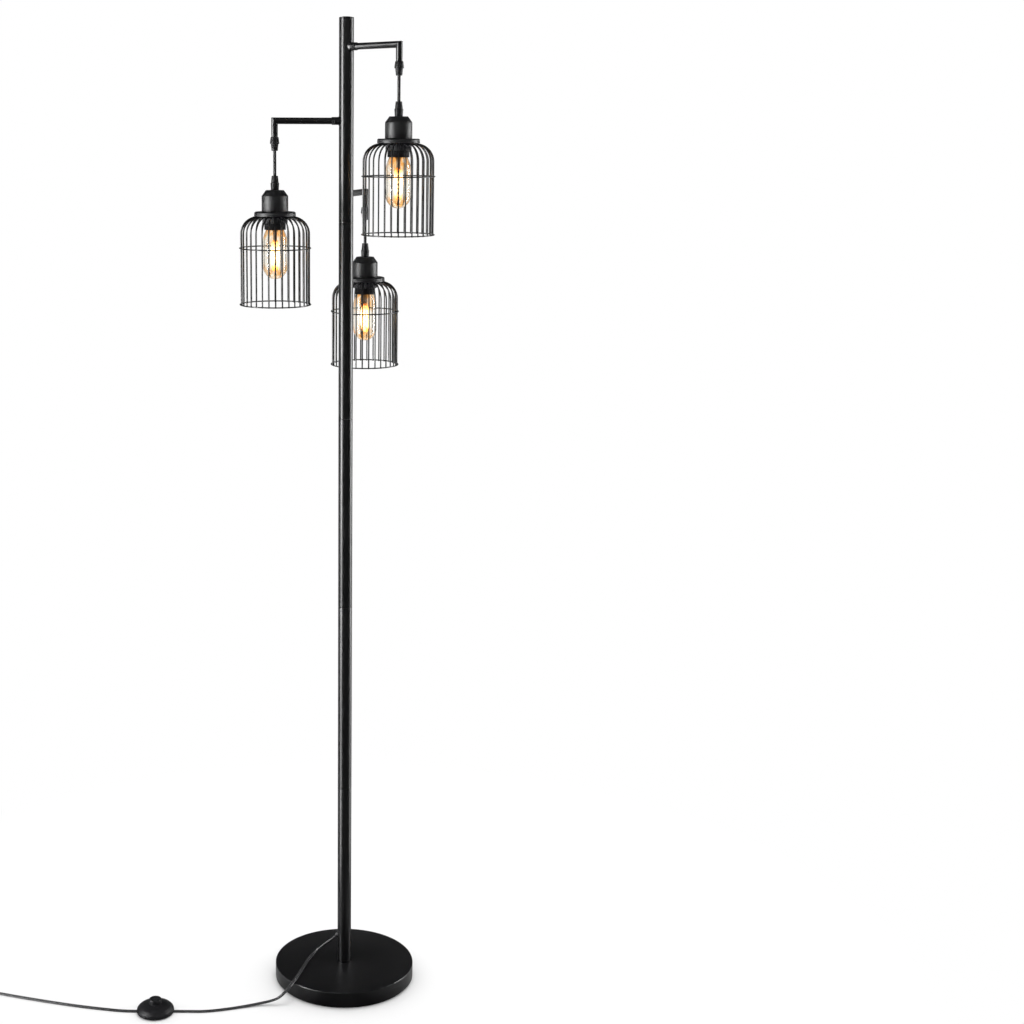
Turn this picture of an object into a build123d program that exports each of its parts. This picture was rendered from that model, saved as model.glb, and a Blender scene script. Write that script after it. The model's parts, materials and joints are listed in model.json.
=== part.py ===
from build123d import *
import os
from math import atan, cos, pi, radians, sin, sqrt, tan

# A floor lamp: a weighted round base, a pole of screwed tube sections, and three arms that each hang
# a caged pendant on a short cord. Millimetres, +Z up, origin on the floor under the pole's axis.

# ---- base ----
base_radius = 127.0
base_height = 30.0
base_sheet = 1.5
base_edge = 1.5
pad_thickness = 3.5
pad_inset = 3.5
weight_clearance = 0.3

# ---- pole ----
pole_radius = 12.5
pole_wall = 1.2
section_length = 340.0
section_count = 5
seam_gap = 0.3
coupler_length = 36.0
slip_clearance = 0.05
cap_rim = 1.0
cap_dome = 1.5
cap_crown_radius = 6.0
cap_spigot = 8.0

# ---- bolt from the base into the pole's foot ----
bolt_radius = 5.0
bolt_engagement = 14.0
bolt_head_radius = 9.8
bolt_head_height = 7.0
bolt_recess_radius = 13.0
bolt_recess_depth = 9.0
thread_clearance = 0.1

# ---- arms ----
arm_count = 3
arm_azimuth = -46.0
arm_first_drop = 47.0
arm_last_rise = 48.0
arm_reach = 124.0
arm_drop = 26.5
arm_radius = 5.5
arm_wall = 1.1
collar_radius = 6.6
collar_length = 10.0
collar_flare_radius = 7.6
collar_flare_length = 1.4
ferrule_length = 1.5
ferrule_taper = 1.9
nipple_radius = 4.3
nipple_bore = 3.1
nipple_reach = 34.0
locknut_radius = 6.35
locknut_height = 2.4

# ---- wiring and pendant cords ----
flex_radius = 2.7
trunk_radius = 3.0
trunk_headroom = 40.0
flex_clearance = 0.5
swing_gap = 0.3
mouth_depth = 3.0
mouth_radius = 3.9
pendant_cord_length = 41.5

# ---- cord grips ----
grip_height = 23.2
grip_thick_height = 11.7
grip_ring_height = 1.7
grip_tip_radius = 5.25
grip_ring_radius = 7.85
grip_neck_radius = 6.5
grip_head_radius = 6.7
grip_lead = 1.0
grip_spigot_length = 6.0
cap_grip_height = 24.0
cap_grip_ring_base = 9.6
cap_grip_ring_top = 12.0
cap_grip_foot_radius = 6.65
cap_grip_ring_radius = 7.45
cap_grip_waist_radius = 6.45
cap_grip_tip_radius = 5.3

# ---- lampholder and its cup ----
cup_radius = 22.5
cup_top_radius = 15.4
cup_wall = 1.2
cup_side_height = 26.2
cup_cone_height = 9.8
entry_radius = 4.7
entry_height = 6.0
entry_clearance = 0.2
holder_radius = 18.5
holder_flange_radius = 20.2
holder_flange_height = 2.0
holder_skirt = 22.6
holder_mouth_radius = 16.2
holder_mouth_depth = 6.0
shade_ring_radius = 21.65
shade_ring_height = 11.6
ring_clearance = 0.1

# ---- cage ----
plate_radius = 35.5
plate_thickness = 7.5
plate_edge = 1.6
wire_count = 32
wire_size = 2.2
wire_start_radius = 24.2
wire_arc_radius = 29.0
wire_arc_steps = 3
cage_radius = 58.1
cage_depth = 151.0
ring_height = 2.2
ring_thickness = 2.1
mid_ring_depth = 53.8
low_ring_depth = 149.5

# ---- bulb ----
bulb_radius = 21.0
bulb_depth = 106.4
bulb_neck_radius = 13.0
bulb_neck_depth = 17.0
bulb_shoulder_depth = 43.0
bulb_glass_wall = 0.8
bulb_base_radius = 13.2
bulb_base_height = 25.0
bulb_tip_radius = 5.0
bulb_tip_height = 3.6
bulb_thread_clearance = 0.2
stem_radius = 3.4
stem_height = 26.0
hub_radius = 1.2
filament_radius = 8.0
filament_size = 0.7
filament_count = 4
filament_top_depth = 38.0
filament_bottom_depth = 94.0

# ---- power cord ----
cord_width = 6.4
cord_thickness = 3.2
bush_azimuth = 167.5
bush_pitch = 42.0
bush_height = 79.6
bush_nose_length = 3.6
bush_nose_radius = 4.6
bush_flange_radius = 6.0
bush_flange_thickness = 1.4

# ---- foot switch ----
switch_x = -336.0
switch_y = -140.0
switch_radius = 33.0
switch_foot_radius = 31.2
switch_base_height = 5.2
switch_floor = 2.0
switch_dome_height = 18.6
switch_hole_radius = 11.5
switch_wall = 2.4
switch_seat = 31.0
switch_slot_clearance = 0.3
button_radius = 11.1
button_height = 26.7
button_edge = 1.8
button_flange_radius = 13.0
button_flange_height = 1.7
button_travel = 3.0
button_stem_radius = 3.0
button_stem_length = 6.0
latch_length = 22.0
latch_width = 18.0
shell_gap = 0.1

# ---- coil and plug ----
coil_x = -686.0
coil_y = -98.0
coil_heading = 160.5
coil_outer_radius = 39.5
coil_pitch = 6.9
coil_layer_pitch = 4.2
coil_half_turns = 3
plug_length = 24.0
plug_width = 25.0
plug_height = 10.8
plug_corner = 3.0
plug_relief_length = 20.0
plug_relief_width = 7.6
plug_relief_height = 5.0
blade_length = 17.5
blade_width = 6.35
blade_thickness = 1.5
blade_spacing = 12.7

# ---- how finely the repeated round pieces are drawn ----
pole_sides = 32
base_sides = 60
weight_sides = 36
coupler_sides = 8
arm_sides = 12
nipple_sides = 8
grip_sides = 10
flex_sides = 12
wiring_sides = 8
cup_sides = 20
holder_sides = 12
bulb_sides = 12
switch_sides = 20

# ---- places that follow from the sizes above ----
base_top = base_height
pole_bore = pole_radius - pole_wall
insert_radius = (pole_bore - slip_clearance) * cos(pi / pole_sides)
pole_top = base_top + section_count * section_length
# The last arm keeps its height above the top section's foot, so its nipple clears the coupler there.
arm_spacing = (section_length - arm_first_drop - arm_last_rise) / (arm_count - 1)
arm_heights = [pole_top - arm_first_drop - n * arm_spacing for n in range(arm_count)]
arm_azimuths = [arm_azimuth - n * 360.0 / arm_count for n in range(arm_count)]
collar_end = pole_radius + collar_length
arm_root = collar_end + seam_gap
arm_bore = arm_radius - arm_wall
coupler_bore = bolt_radius + thread_clearance

# Heights below the arm's axis, down one pendant.
grip_bottom = -arm_drop - grip_height
swing_height = grip_bottom + mouth_depth
cap_grip_top = grip_bottom - pendant_cord_length
tilt_height = cap_grip_top - mouth_depth
cup_top = cap_grip_top - cap_grip_height
cup_shoulder = cup_top - cup_cone_height
plate_top = cup_shoulder - cup_side_height
plate_under = plate_top - plate_thickness
flex_bore = flex_radius + flex_clearance

os.makedirs("parts", exist_ok=True)


def save(part, name):
    part.label = name
    export_step(part, f"parts/{name}.step")


def on_arm(n):
    """The place of arm n: its X axis points outwards from the pole."""
    return Location((0, 0, arm_heights[n]), (0, 0, arm_azimuths[n]))


def on_pendant(n):
    """The place of pendant n: its Z axis is the pendant's own axis, from the arm's height."""
    return on_arm(n) * Location((arm_reach, 0, 0))


def faceted(levels, sides):
    """A turned form with flat sides, through (radius, height) levels: its outline is pushed through
    from every side in turn, and what all the passes share is kept."""
    outline = levels + [(-radius, height) for radius, height in reversed(levels)]
    reach = 2 * max(radius for radius, height in levels)
    with BuildPart() as form:
        for k in range(sides // 2):
            with BuildSketch(Plane.XZ.rotated((0, 0, (k + 0.5) * 360.0 / sides))):
                with BuildLine():
                    Polyline(*outline, close=True)
                make_face()
            extrude(amount=reach, both=True, mode=Mode.INTERSECT if k else Mode.ADD)
    return form.part


# ---------------------------------------------------------------- base
cover_inside = base_radius - base_sheet
with BuildPart() as base_cover:
    add(
        faceted(
            [
                (base_radius, pad_thickness),
                (base_radius, base_top - base_edge),
                (base_radius - base_edge, base_top),
            ],
            base_sides,
        )
    )
    with BuildSketch(Plane.XY.offset(pad_thickness)):
        RegularPolygon(cover_inside, base_sides, major_radius=False)
    extrude(amount=base_top - base_sheet - pad_thickness, mode=Mode.SUBTRACT)
    with BuildSketch(Plane.XY.offset(base_top - base_sheet)):
        RegularPolygon(coupler_bore, coupler_sides, major_radius=False)
    extrude(amount=base_sheet, mode=Mode.SUBTRACT)
save(base_cover.part, "base_cover")

weight_radius = cover_inside - weight_clearance
weight_height = base_top - base_sheet - pad_thickness
with BuildPart() as base_weight:
    with BuildSketch(Plane.XY.offset(pad_thickness)):
        RegularPolygon(weight_radius, weight_sides)
        RegularPolygon(coupler_bore, coupler_sides, major_radius=False, mode=Mode.SUBTRACT)
    extrude(amount=weight_height)
    with BuildSketch(Plane.XY.offset(pad_thickness)):
        RegularPolygon(bolt_recess_radius, coupler_sides, major_radius=False)
    extrude(amount=bolt_recess_depth, mode=Mode.SUBTRACT)
save(base_weight.part, "base_weight")

with BuildPart() as base_pad:
    with BuildSketch():
        RegularPolygon(base_radius - pad_inset, base_sides)
    extrude(amount=pad_thickness)
save(base_pad.part, "base_pad")

bolt_seat = pad_thickness + bolt_recess_depth
with BuildPart() as foot_bolt:
    with BuildSketch(Plane.XY.offset(bolt_seat - bolt_head_height)):
        RegularPolygon(bolt_head_radius, 6)
    extrude(amount=bolt_head_height)
    with BuildSketch(Plane.XY.offset(bolt_seat)):
        RegularPolygon(bolt_radius, coupler_sides)
    extrude(amount=base_top + bolt_engagement - bolt_seat)
save(foot_bolt.part, "foot_bolt")

# ---------------------------------------------------------------- pole
bush_out = Vector(
    cos(radians(bush_pitch)) * cos(radians(bush_azimuth)),
    cos(radians(bush_pitch)) * sin(radians(bush_azimuth)),
    -sin(radians(bush_pitch)),
)
bush_foot = Vector(
    pole_radius * cos(radians(bush_azimuth)),
    pole_radius * sin(radians(bush_azimuth)),
    bush_height,
)
bush_plane = Plane(origin=bush_foot, z_dir=bush_out)
bush_bore = trunk_radius + slip_clearance

for level in range(section_count):
    with BuildPart() as pole_section:
        with BuildSketch(Plane.XY.offset(base_top + level * section_length)):
            RegularPolygon(pole_radius, pole_sides)
            RegularPolygon(pole_bore, pole_sides, mode=Mode.SUBTRACT)
        extrude(amount=section_length - seam_gap)
        if level == 0:
            with BuildSketch(bush_plane):
                RegularPolygon(bush_nose_radius + slip_clearance, grip_sides)
            extrude(amount=pole_radius / 2, both=True, mode=Mode.SUBTRACT)
        if level == section_count - 1:
            for n in range(arm_count):
                nipple_plane = Plane(on_arm(n)) * Location((0, 0, 0), (0, 90, 0))
                with BuildSketch(nipple_plane):
                    RegularPolygon(nipple_radius + thread_clearance, nipple_sides, major_radius=False)
                extrude(amount=collar_end, mode=Mode.SUBTRACT)
    save(pole_section.part, f"pole_section_{level + 1}")

# Threaded inserts that join the sections; the lowest takes the bolt from the base.
with BuildPart() as pole_couplers:
    for level in range(section_count):
        seat = base_top + level * section_length
        low = seat if level == 0 else seat - coupler_length / 2
        with BuildSketch(Plane.XY.offset(low)):
            RegularPolygon(insert_radius, coupler_sides)
            RegularPolygon(coupler_bore, coupler_sides, major_radius=False, mode=Mode.SUBTRACT)
        extrude(amount=coupler_length)
save(pole_couplers.part, "pole_couplers")

cap_spigot_radius = insert_radius * cos(pi / pole_sides)
cap_radius = pole_radius * cos(pi / pole_sides)
with BuildPart() as pole_cap:
    add(
        faceted(
            [
                (cap_spigot_radius, pole_top - cap_spigot),
                (cap_spigot_radius, pole_top),
                (cap_radius, pole_top),
                (cap_radius, pole_top + cap_rim),
                (cap_crown_radius, pole_top + cap_rim + cap_dome),
            ],
            pole_sides,
        )
    )
save(pole_cap.part, "pole_cap")

# The bush seats on the pole's wall, and its nose turns down the way the cord leaves.
with BuildPart() as cord_bush:
    with BuildSketch(bush_plane.offset(-pole_radius / 2)):
        RegularPolygon(bush_flange_radius, grip_sides)
    extrude(amount=pole_radius / 2 + bush_flange_thickness)
    with BuildSketch():
        RegularPolygon(pole_radius, pole_sides)
    extrude(amount=section_length, mode=Mode.SUBTRACT)
    with BuildSketch(bush_plane.offset(-pole_wall)):
        RegularPolygon(bush_nose_radius, grip_sides)
    extrude(amount=pole_wall + bush_nose_length)
    with BuildSketch(bush_plane.offset(-pole_radius / 2)):
        RegularPolygon(bush_bore, wiring_sides, major_radius=False)
    extrude(amount=pole_radius, mode=Mode.SUBTRACT)
save(cord_bush.part, "cord_bush")

# ---------------------------------------------------------------- arms
lying = Location((0, 0, 0), (0, 90, 0))
ferrule_end = arm_root + ferrule_length
with BuildPart() as arm:
    with BuildLine():
        Polyline((arm_root, 0, 0), (arm_reach, 0, 0), (arm_reach, 0, -arm_drop))
    with BuildSketch(Plane(origin=(arm_root, 0, 0), z_dir=(1, 0, 0))):
        RegularPolygon(arm_radius, arm_sides, major_radius=False)
    sweep(transition=Transition.RIGHT)
    add(
        faceted(
            [
                (collar_radius, arm_root),
                (collar_radius, ferrule_end),
                (arm_radius, ferrule_end + ferrule_taper),
            ],
            arm_sides,
        ).moved(lying)
    )
    with BuildLine():
        Polyline((arm_root, 0, 0), (arm_reach, 0, 0), (arm_reach, 0, -arm_drop))
    with BuildSketch(Plane(origin=(arm_root, 0, 0), z_dir=(1, 0, 0))):
        RegularPolygon(arm_bore, arm_sides, major_radius=False)
    sweep(transition=Transition.RIGHT, mode=Mode.SUBTRACT)

with BuildPart() as arm_collar:
    add(
        faceted(
            [
                (collar_flare_radius, pole_radius / 2),
                (collar_flare_radius, pole_radius),
                (collar_radius, pole_radius + collar_flare_length),
                (collar_radius, collar_end),
            ],
            arm_sides,
        ).moved(lying)
    )
    with BuildSketch(Plane.YZ):
        RegularPolygon(nipple_radius + thread_clearance, nipple_sides, major_radius=False)
    extrude(amount=collar_end, mode=Mode.SUBTRACT)
    with BuildSketch():
        RegularPolygon(pole_radius + slip_clearance, pole_sides)
    extrude(amount=2 * collar_radius, both=True, mode=Mode.SUBTRACT)

# A threaded nipple runs through the pole's wall into each arm, with a locknut inside the pole.
locknut_seat = sqrt(insert_radius**2 - locknut_radius**2)
with BuildPart() as arm_nipple:
    with BuildSketch(Plane.YZ.offset(locknut_seat - locknut_height)):
        RegularPolygon(locknut_radius, 6)
    extrude(amount=locknut_height)
    with BuildSketch(Plane.YZ.offset(locknut_seat - locknut_height)):
        RegularPolygon(nipple_radius, nipple_sides)
    extrude(amount=nipple_reach - locknut_seat + locknut_height)
    with BuildSketch(Plane.YZ):
        RegularPolygon(nipple_bore, wiring_sides, major_radius=False)
    extrude(amount=nipple_reach, mode=Mode.SUBTRACT)

arm_collars = []
arm_nipples = []
for n in range(arm_count):
    save(arm.part.moved(on_arm(n)), f"arm_{n + 1}")
    arm_collars.append(arm_collar.part.moved(on_arm(n)))
    arm_nipples.append(arm_nipple.part.moved(on_arm(n)))
save(Compound(children=arm_collars), "arm_collars")
save(Compound(children=arm_nipples), "arm_nipples")

# ---------------------------------------------------------------- wiring inside the pole and arms
flex_end = swing_height + flex_radius + swing_gap
trunk_exit = bush_foot + bush_out * bush_nose_length
trunk_turn = Vector(0, 0, bush_height + pole_radius * tan(radians(bush_pitch)))
with BuildPart() as wiring_harness:
    with BuildLine():
        Polyline(trunk_exit, trunk_turn, (0, 0, pole_top - trunk_headroom))
    with BuildSketch(Plane(origin=trunk_exit, z_dir=-bush_out)):
        RegularPolygon(trunk_radius, wiring_sides)
    sweep(transition=Transition.RIGHT)
    for n in range(arm_count):
        place = on_arm(n)
        elbow = (place * Location((arm_reach, 0, 0))).position
        with BuildLine():
            Polyline(place.position, elbow, elbow + Vector(0, 0, flex_end))
        with BuildSketch(Plane(place) * lying):
            RegularPolygon(flex_radius, wiring_sides)
        sweep(transition=Transition.RIGHT)
save(wiring_harness.part, "wiring_harness")

# ---------------------------------------------------------------- grip under each arm
with BuildPart() as arm_grip:
    add(
        faceted(
            [
                (grip_tip_radius, grip_bottom),
                (grip_neck_radius, grip_bottom + grip_height - grip_thick_height),
                (grip_ring_radius, grip_bottom + grip_height - grip_thick_height),
                (grip_ring_radius, grip_bottom + grip_height - grip_thick_height + grip_ring_height),
                (grip_head_radius, -arm_drop - grip_lead),
                (arm_radius, -arm_drop),
                (arm_bore - 2 * thread_clearance, -arm_drop),
                (arm_bore - 2 * thread_clearance, -arm_drop + grip_spigot_length),
            ],
            grip_sides,
        )
    )
    add(
        faceted(
            [
                (mouth_radius, grip_bottom),
                (flex_bore, swing_height),
                (flex_bore, -arm_drop + grip_spigot_length),
            ],
            grip_sides,
        ),
        mode=Mode.SUBTRACT,
    )

# ---------------------------------------------------------------- pendant cord
with BuildPart() as pendant_cord:
    add(
        faceted(
            [
                (flex_radius * sin(radians(15)), tilt_height - flex_radius * cos(radians(15))),
                (flex_radius * sin(radians(50)), tilt_height - flex_radius * cos(radians(50))),
                (flex_radius, tilt_height),
                (flex_radius, swing_height),
                (flex_radius * sin(radians(50)), swing_height + flex_radius * cos(radians(50))),
                (flex_radius * sin(radians(15)), swing_height + flex_radius * cos(radians(15))),
            ],
            flex_sides,
        )
    )

# ---------------------------------------------------------------- grip on each cup
with BuildPart() as cap_grip:
    add(
        faceted(
            [
                (cap_grip_foot_radius, cup_top),
                (cap_grip_ring_radius - 0.2, cup_top + cap_grip_ring_base),
                (cap_grip_ring_radius, cup_top + cap_grip_ring_base),
                (cap_grip_ring_radius, cup_top + cap_grip_ring_top),
                (cap_grip_waist_radius, cup_top + cap_grip_ring_top),
                (cap_grip_tip_radius, cap_grip_top),
            ],
            grip_sides,
        )
    )
    add(
        faceted(
            [
                (entry_radius + entry_clearance, cup_top),
                (entry_radius + entry_clearance, cup_top + entry_height + entry_clearance),
                (flex_bore, cup_top + entry_height + entry_clearance),
                (flex_bore, tilt_height),
                (mouth_radius, cap_grip_top),
            ],
            grip_sides,
        ),
        mode=Mode.SUBTRACT,
    )

# ---------------------------------------------------------------- cup
with BuildPart() as socket_cup:
    add(
        faceted(
            [(cup_radius, plate_top), (cup_radius, cup_shoulder), (cup_top_radius, cup_top)],
            cup_sides,
        )
    )
    add(
        faceted([(cup_radius - cup_wall, plate_top), (cup_radius - cup_wall, cup_shoulder)], cup_sides),
        mode=Mode.SUBTRACT,
    )
    with BuildSketch(Plane.XY.offset(cup_shoulder)):
        RegularPolygon(entry_radius + entry_clearance, grip_sides, major_radius=False)
    extrude(amount=cup_cone_height, mode=Mode.SUBTRACT)

# ---------------------------------------------------------------- lampholder, with its cord tail
holder_bottom = plate_under - holder_skirt
bulb_seat = plate_under - bulb_neck_depth
bulb_tip = bulb_seat + bulb_base_height + bulb_tip_height
thread_radius = bulb_base_radius + bulb_thread_clearance
with BuildPart() as lampholder:
    add(
        faceted(
            [
                (holder_radius, holder_bottom),
                (holder_radius, plate_top),
                (holder_flange_radius, plate_top),
                (holder_flange_radius, plate_top + holder_flange_height),
                (holder_radius, plate_top + holder_flange_height),
                (holder_radius, cup_shoulder),
                (entry_radius, cup_shoulder),
                (entry_radius, cup_top + entry_height),
                (flex_radius, cup_top + entry_height),
                (flex_radius, tilt_height - flex_radius - swing_gap),
            ],
            holder_sides,
        )
    )
    add(
        faceted(
            [
                (holder_mouth_radius, holder_bottom),
                (holder_mouth_radius, holder_bottom + holder_mouth_depth),
                (thread_radius, holder_bottom + holder_mouth_depth),
                (thread_radius, bulb_tip),
            ],
            holder_sides,
        ),
        mode=Mode.SUBTRACT,
    )

# The ring screws up the holder's skirt and clamps the plate.
with BuildPart() as shade_ring:
    with BuildSketch(Plane.XY.offset(plate_under - shade_ring_height)):
        RegularPolygon(shade_ring_radius, cup_sides, major_radius=False)
        RegularPolygon(holder_radius + ring_clearance, holder_sides, major_radius=False, mode=Mode.SUBTRACT)
    extrude(amount=shade_ring_height)

# ---------------------------------------------------------------- cage plate and wire cage
with BuildPart() as cage_plate:
    add(
        faceted(
            [
                (plate_radius, plate_under),
                (plate_radius, plate_top - plate_edge),
                (plate_radius - plate_edge, plate_top),
            ],
            wire_count,
        )
    )
    with BuildSketch(Plane.XY.offset(plate_under)):
        RegularPolygon(holder_radius + ring_clearance, holder_sides, major_radius=False)
    extrude(amount=plate_thickness, mode=Mode.SUBTRACT)

# Each wire runs out under the plate, round a quarter turn and straight down. The turn is drawn as
# equal straight steps that touch the arc, so a corner lies where two neighbouring tangents meet.
arc_centre_radius = cage_radius - wire_arc_radius
arc_centre_height = plate_under - wire_size / 2 - wire_arc_radius
arc_step = radians(90.0 / wire_arc_steps)
corner_radius = wire_arc_radius / cos(arc_step / 2)
wire_points = [(wire_start_radius, 0, plate_under - wire_size / 2)]
for k in range(wire_arc_steps):
    turn = (k + 0.5) * arc_step
    wire_points.append(
        (arc_centre_radius + corner_radius * sin(turn), 0, arc_centre_height + corner_radius * cos(turn))
    )
wire_points.append((cage_radius, 0, plate_under - cage_depth))

with BuildPart() as wire:
    with BuildLine():
        Polyline(*wire_points)
    with BuildSketch(Plane(origin=wire_points[0], z_dir=(1, 0, 0))):
        Rectangle(wire_size, wire_size)
    sweep(transition=Transition.RIGHT)

# The rings lie outside the wires, each with a flat facet against every wire, and are welded on.
ring_inside = cage_radius + wire_size / 2
facet_turn = 180.0 / wire_count
with BuildPart() as cage:
    with PolarLocations(0, wire_count):
        add(wire.part)
    for depth in (mid_ring_depth, low_ring_depth):
        with BuildSketch(Plane.XY.offset(plate_under - depth - ring_height / 2)):
            RegularPolygon(ring_inside + ring_thickness, wire_count, major_radius=False, rotation=facet_turn)
            RegularPolygon(ring_inside, wire_count, major_radius=False, rotation=facet_turn, mode=Mode.SUBTRACT)
        extrude(amount=ring_height)

# ---------------------------------------------------------------- bulb
bulb_low = plate_under - bulb_depth
bulb_belly = bulb_low + bulb_radius
glass_inside = bulb_radius - bulb_glass_wall
with BuildPart() as bulb_glass:
    add(
        faceted(
            [
                (bulb_radius * 0.18, bulb_low),
                (bulb_radius * sin(radians(38)), bulb_belly - bulb_radius * cos(radians(38))),
                (bulb_radius * sin(radians(66)), bulb_belly - bulb_radius * cos(radians(66))),
                (bulb_radius, bulb_belly),
                (bulb_radius, plate_under - bulb_shoulder_depth),
                (bulb_radius - 1.9, plate_under - bulb_shoulder_depth + 9.5),
                (bulb_neck_radius + 2.4, holder_bottom),
                (bulb_neck_radius, bulb_seat),
            ],
            bulb_sides,
        )
    )
    add(
        faceted(
            [
                (glass_inside * 0.5, bulb_low + bulb_glass_wall * 4),
                (glass_inside, bulb_belly + bulb_glass_wall),
                (glass_inside, plate_under - bulb_shoulder_depth),
                (bulb_neck_radius - bulb_glass_wall, bulb_seat),
            ],
            bulb_sides,
        ),
        mode=Mode.SUBTRACT,
    )

with BuildPart() as bulb_base:
    add(
        faceted(
            [
                (bulb_base_radius, bulb_seat),
                (bulb_base_radius, bulb_seat + bulb_base_height),
                (bulb_tip_radius, bulb_tip),
            ],
            holder_sides,
        )
    )

# A glass stem carries a centre wire with two hubs, and the filaments run up and down between them.
with BuildPart() as bulb_filament:
    add(
        faceted(
            [
                (stem_radius, bulb_seat - stem_height),
                (bulb_neck_radius - 2 * bulb_glass_wall, bulb_seat),
            ],
            flex_sides,
        )
    )
    hub_low = plate_under - filament_bottom_depth
    hub_high = plate_under - filament_top_depth
    with BuildSketch(Plane.XY.offset(hub_low)):
        RegularPolygon(hub_radius, 6)
    extrude(amount=bulb_seat - stem_height - hub_low)
    with PolarLocations(0, filament_count):
        with Locations((filament_radius / 2, 0, hub_low), (filament_radius / 2, 0, hub_high)):
            Box(filament_radius, filament_size, filament_size)
        with Locations((filament_radius, 0, (hub_low + hub_high) / 2)):
            Box(filament_size, filament_size, hub_high - hub_low + filament_size)

pendant_pieces = {
    "arm_grip": arm_grip.part,
    "pendant_cord": pendant_cord.part,
    "cap_grip": cap_grip.part,
    "socket_cup": socket_cup.part,
    "lampholder": lampholder.part,
    "shade_ring": shade_ring.part,
    "cage_plate": cage_plate.part,
    "cage": cage.part,
    "bulb_glass": bulb_glass.part,
    "bulb_base": bulb_base.part,
    "bulb_filament": bulb_filament.part,
}
for name, piece in pendant_pieces.items():
    for n in range(arm_count):
        save(piece.moved(on_pendant(n)), f"{name}_{n + 1}")

# ---------------------------------------------------------------- foot switch
slot_width = cord_width + switch_slot_clearance
dome_inside = switch_radius - switch_wall
flange_top = switch_dome_height - switch_wall - swing_gap
flange_bottom = flange_top - button_flange_height
latch_top = flange_bottom - button_travel - swing_gap
stem_bottom = flange_bottom - button_stem_length
with BuildPart() as switch_base:
    add(
        faceted(
            [
                (switch_foot_radius, 0),
                (switch_radius, switch_floor),
                (switch_radius, switch_base_height),
            ],
            switch_sides,
        )
    )
    add(
        faceted([(dome_inside, switch_floor), (dome_inside - 1, switch_base_height)], switch_sides),
        mode=Mode.SUBTRACT,
    )
    with Locations((-switch_seat - switch_radius / 2, 0, 0), (switch_seat + switch_radius / 2, 0, 0)):
        Box(
            switch_radius,
            slot_width,
            cord_thickness + switch_slot_clearance,
            align=(Align.CENTER, Align.CENTER, Align.MIN),
            mode=Mode.SUBTRACT,
        )

with BuildPart() as switch_cover:
    add(
        faceted(
            [
                (switch_radius, switch_base_height),
                (switch_radius - 1.6, switch_base_height + 3.4),
                (switch_radius - 6.2, switch_dome_height - 5.2),
                (switch_radius - 13.0, switch_dome_height - 1.8),
                (switch_hole_radius + 1.0, switch_dome_height),
            ],
            switch_sides,
        )
    )
    add(
        faceted(
            [
                (dome_inside - 1, switch_base_height),
                (dome_inside - 3, switch_base_height + 3.4),
                (button_flange_radius + 1.5, switch_dome_height - switch_wall),
                (switch_hole_radius, switch_dome_height - switch_wall),
                (switch_hole_radius, switch_dome_height),
            ],
            switch_sides,
        ),
        mode=Mode.SUBTRACT,
    )

with BuildPart() as switch_button:
    add(
        faceted(
            [
                (button_stem_radius, stem_bottom),
                (button_stem_radius, flange_bottom),
                (button_flange_radius, flange_bottom),
                (button_flange_radius, flange_top),
                (button_radius, flange_top),
                (button_radius, button_height - button_edge),
                (button_radius - button_edge, button_height),
            ],
            switch_sides,
        )
    )

with BuildPart() as switch_latch:
    with Locations((0, 0, switch_floor)):
        Box(
            latch_length,
            latch_width,
            latch_top - switch_floor,
            align=(Align.CENTER, Align.CENTER, Align.MIN),
        )
    with BuildSketch(Plane.XY.offset(latch_top)):
        RegularPolygon(button_stem_radius + swing_gap, switch_sides, major_radius=False)
    extrude(amount=stem_bottom - button_travel - swing_gap - latch_top, mode=Mode.SUBTRACT)

switch_place = Location((switch_x, switch_y, 0))
save(switch_base.part.moved(switch_place), "switch_base")
save(switch_cover.part.moved(switch_place), "switch_cover")
save(switch_button.part.moved(switch_place), "switch_button")
save(switch_latch.part.moved(switch_place), "switch_latch")


# ---------------------------------------------------------------- power cord
def flat_cord(points, level_run=-1):
    """A flat cord along straight runs and tangent arcs, each arc as large as its two runs allow. It
    lies level in one run, and that way up is carried back round the bends to where it starts."""
    route = [Vector(*p) for p in points]
    radii = []
    upright = Vector(0, 0, 1)
    corners = list(zip(route, route[1:], route[2:]))
    last_turned = level_run % (len(route) - 1)
    for k, (before, here, after) in reversed(list(enumerate(corners))):
        turn = (here - before).get_angle(after - here)
        shorter = min((here - before).length, (after - here).length)
        radii.insert(0, 0.45 * shorter / tan(radians(turn / 2)))
        if k < last_turned:
            upright = upright.rotate(Axis((0, 0, 0), (after - here).cross(here - before)), turn)
    with BuildPart() as stretch:
        with BuildLine() as path:
            FilletPolyline(*route, radius=radii)
        heading = route[1] - route[0]
        with BuildSketch(Plane(origin=route[0], x_dir=upright.cross(heading), z_dir=heading)):
            Rectangle(cord_width, cord_thickness)
        sweep()
    length = sum(edge.length for edge in path.edges())
    volume = stretch.part.volume / (length * cord_width * cord_thickness)
    print("cord length", round(length, 1), "smallest radius", round(min(radii), 1), "volume", round(volume, 3))
    return stretch.part


floor_line = cord_thickness / 2
base_line = base_top + cord_thickness / 2
cord_start = bush_foot + bush_out * bush_nose_length

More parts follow.
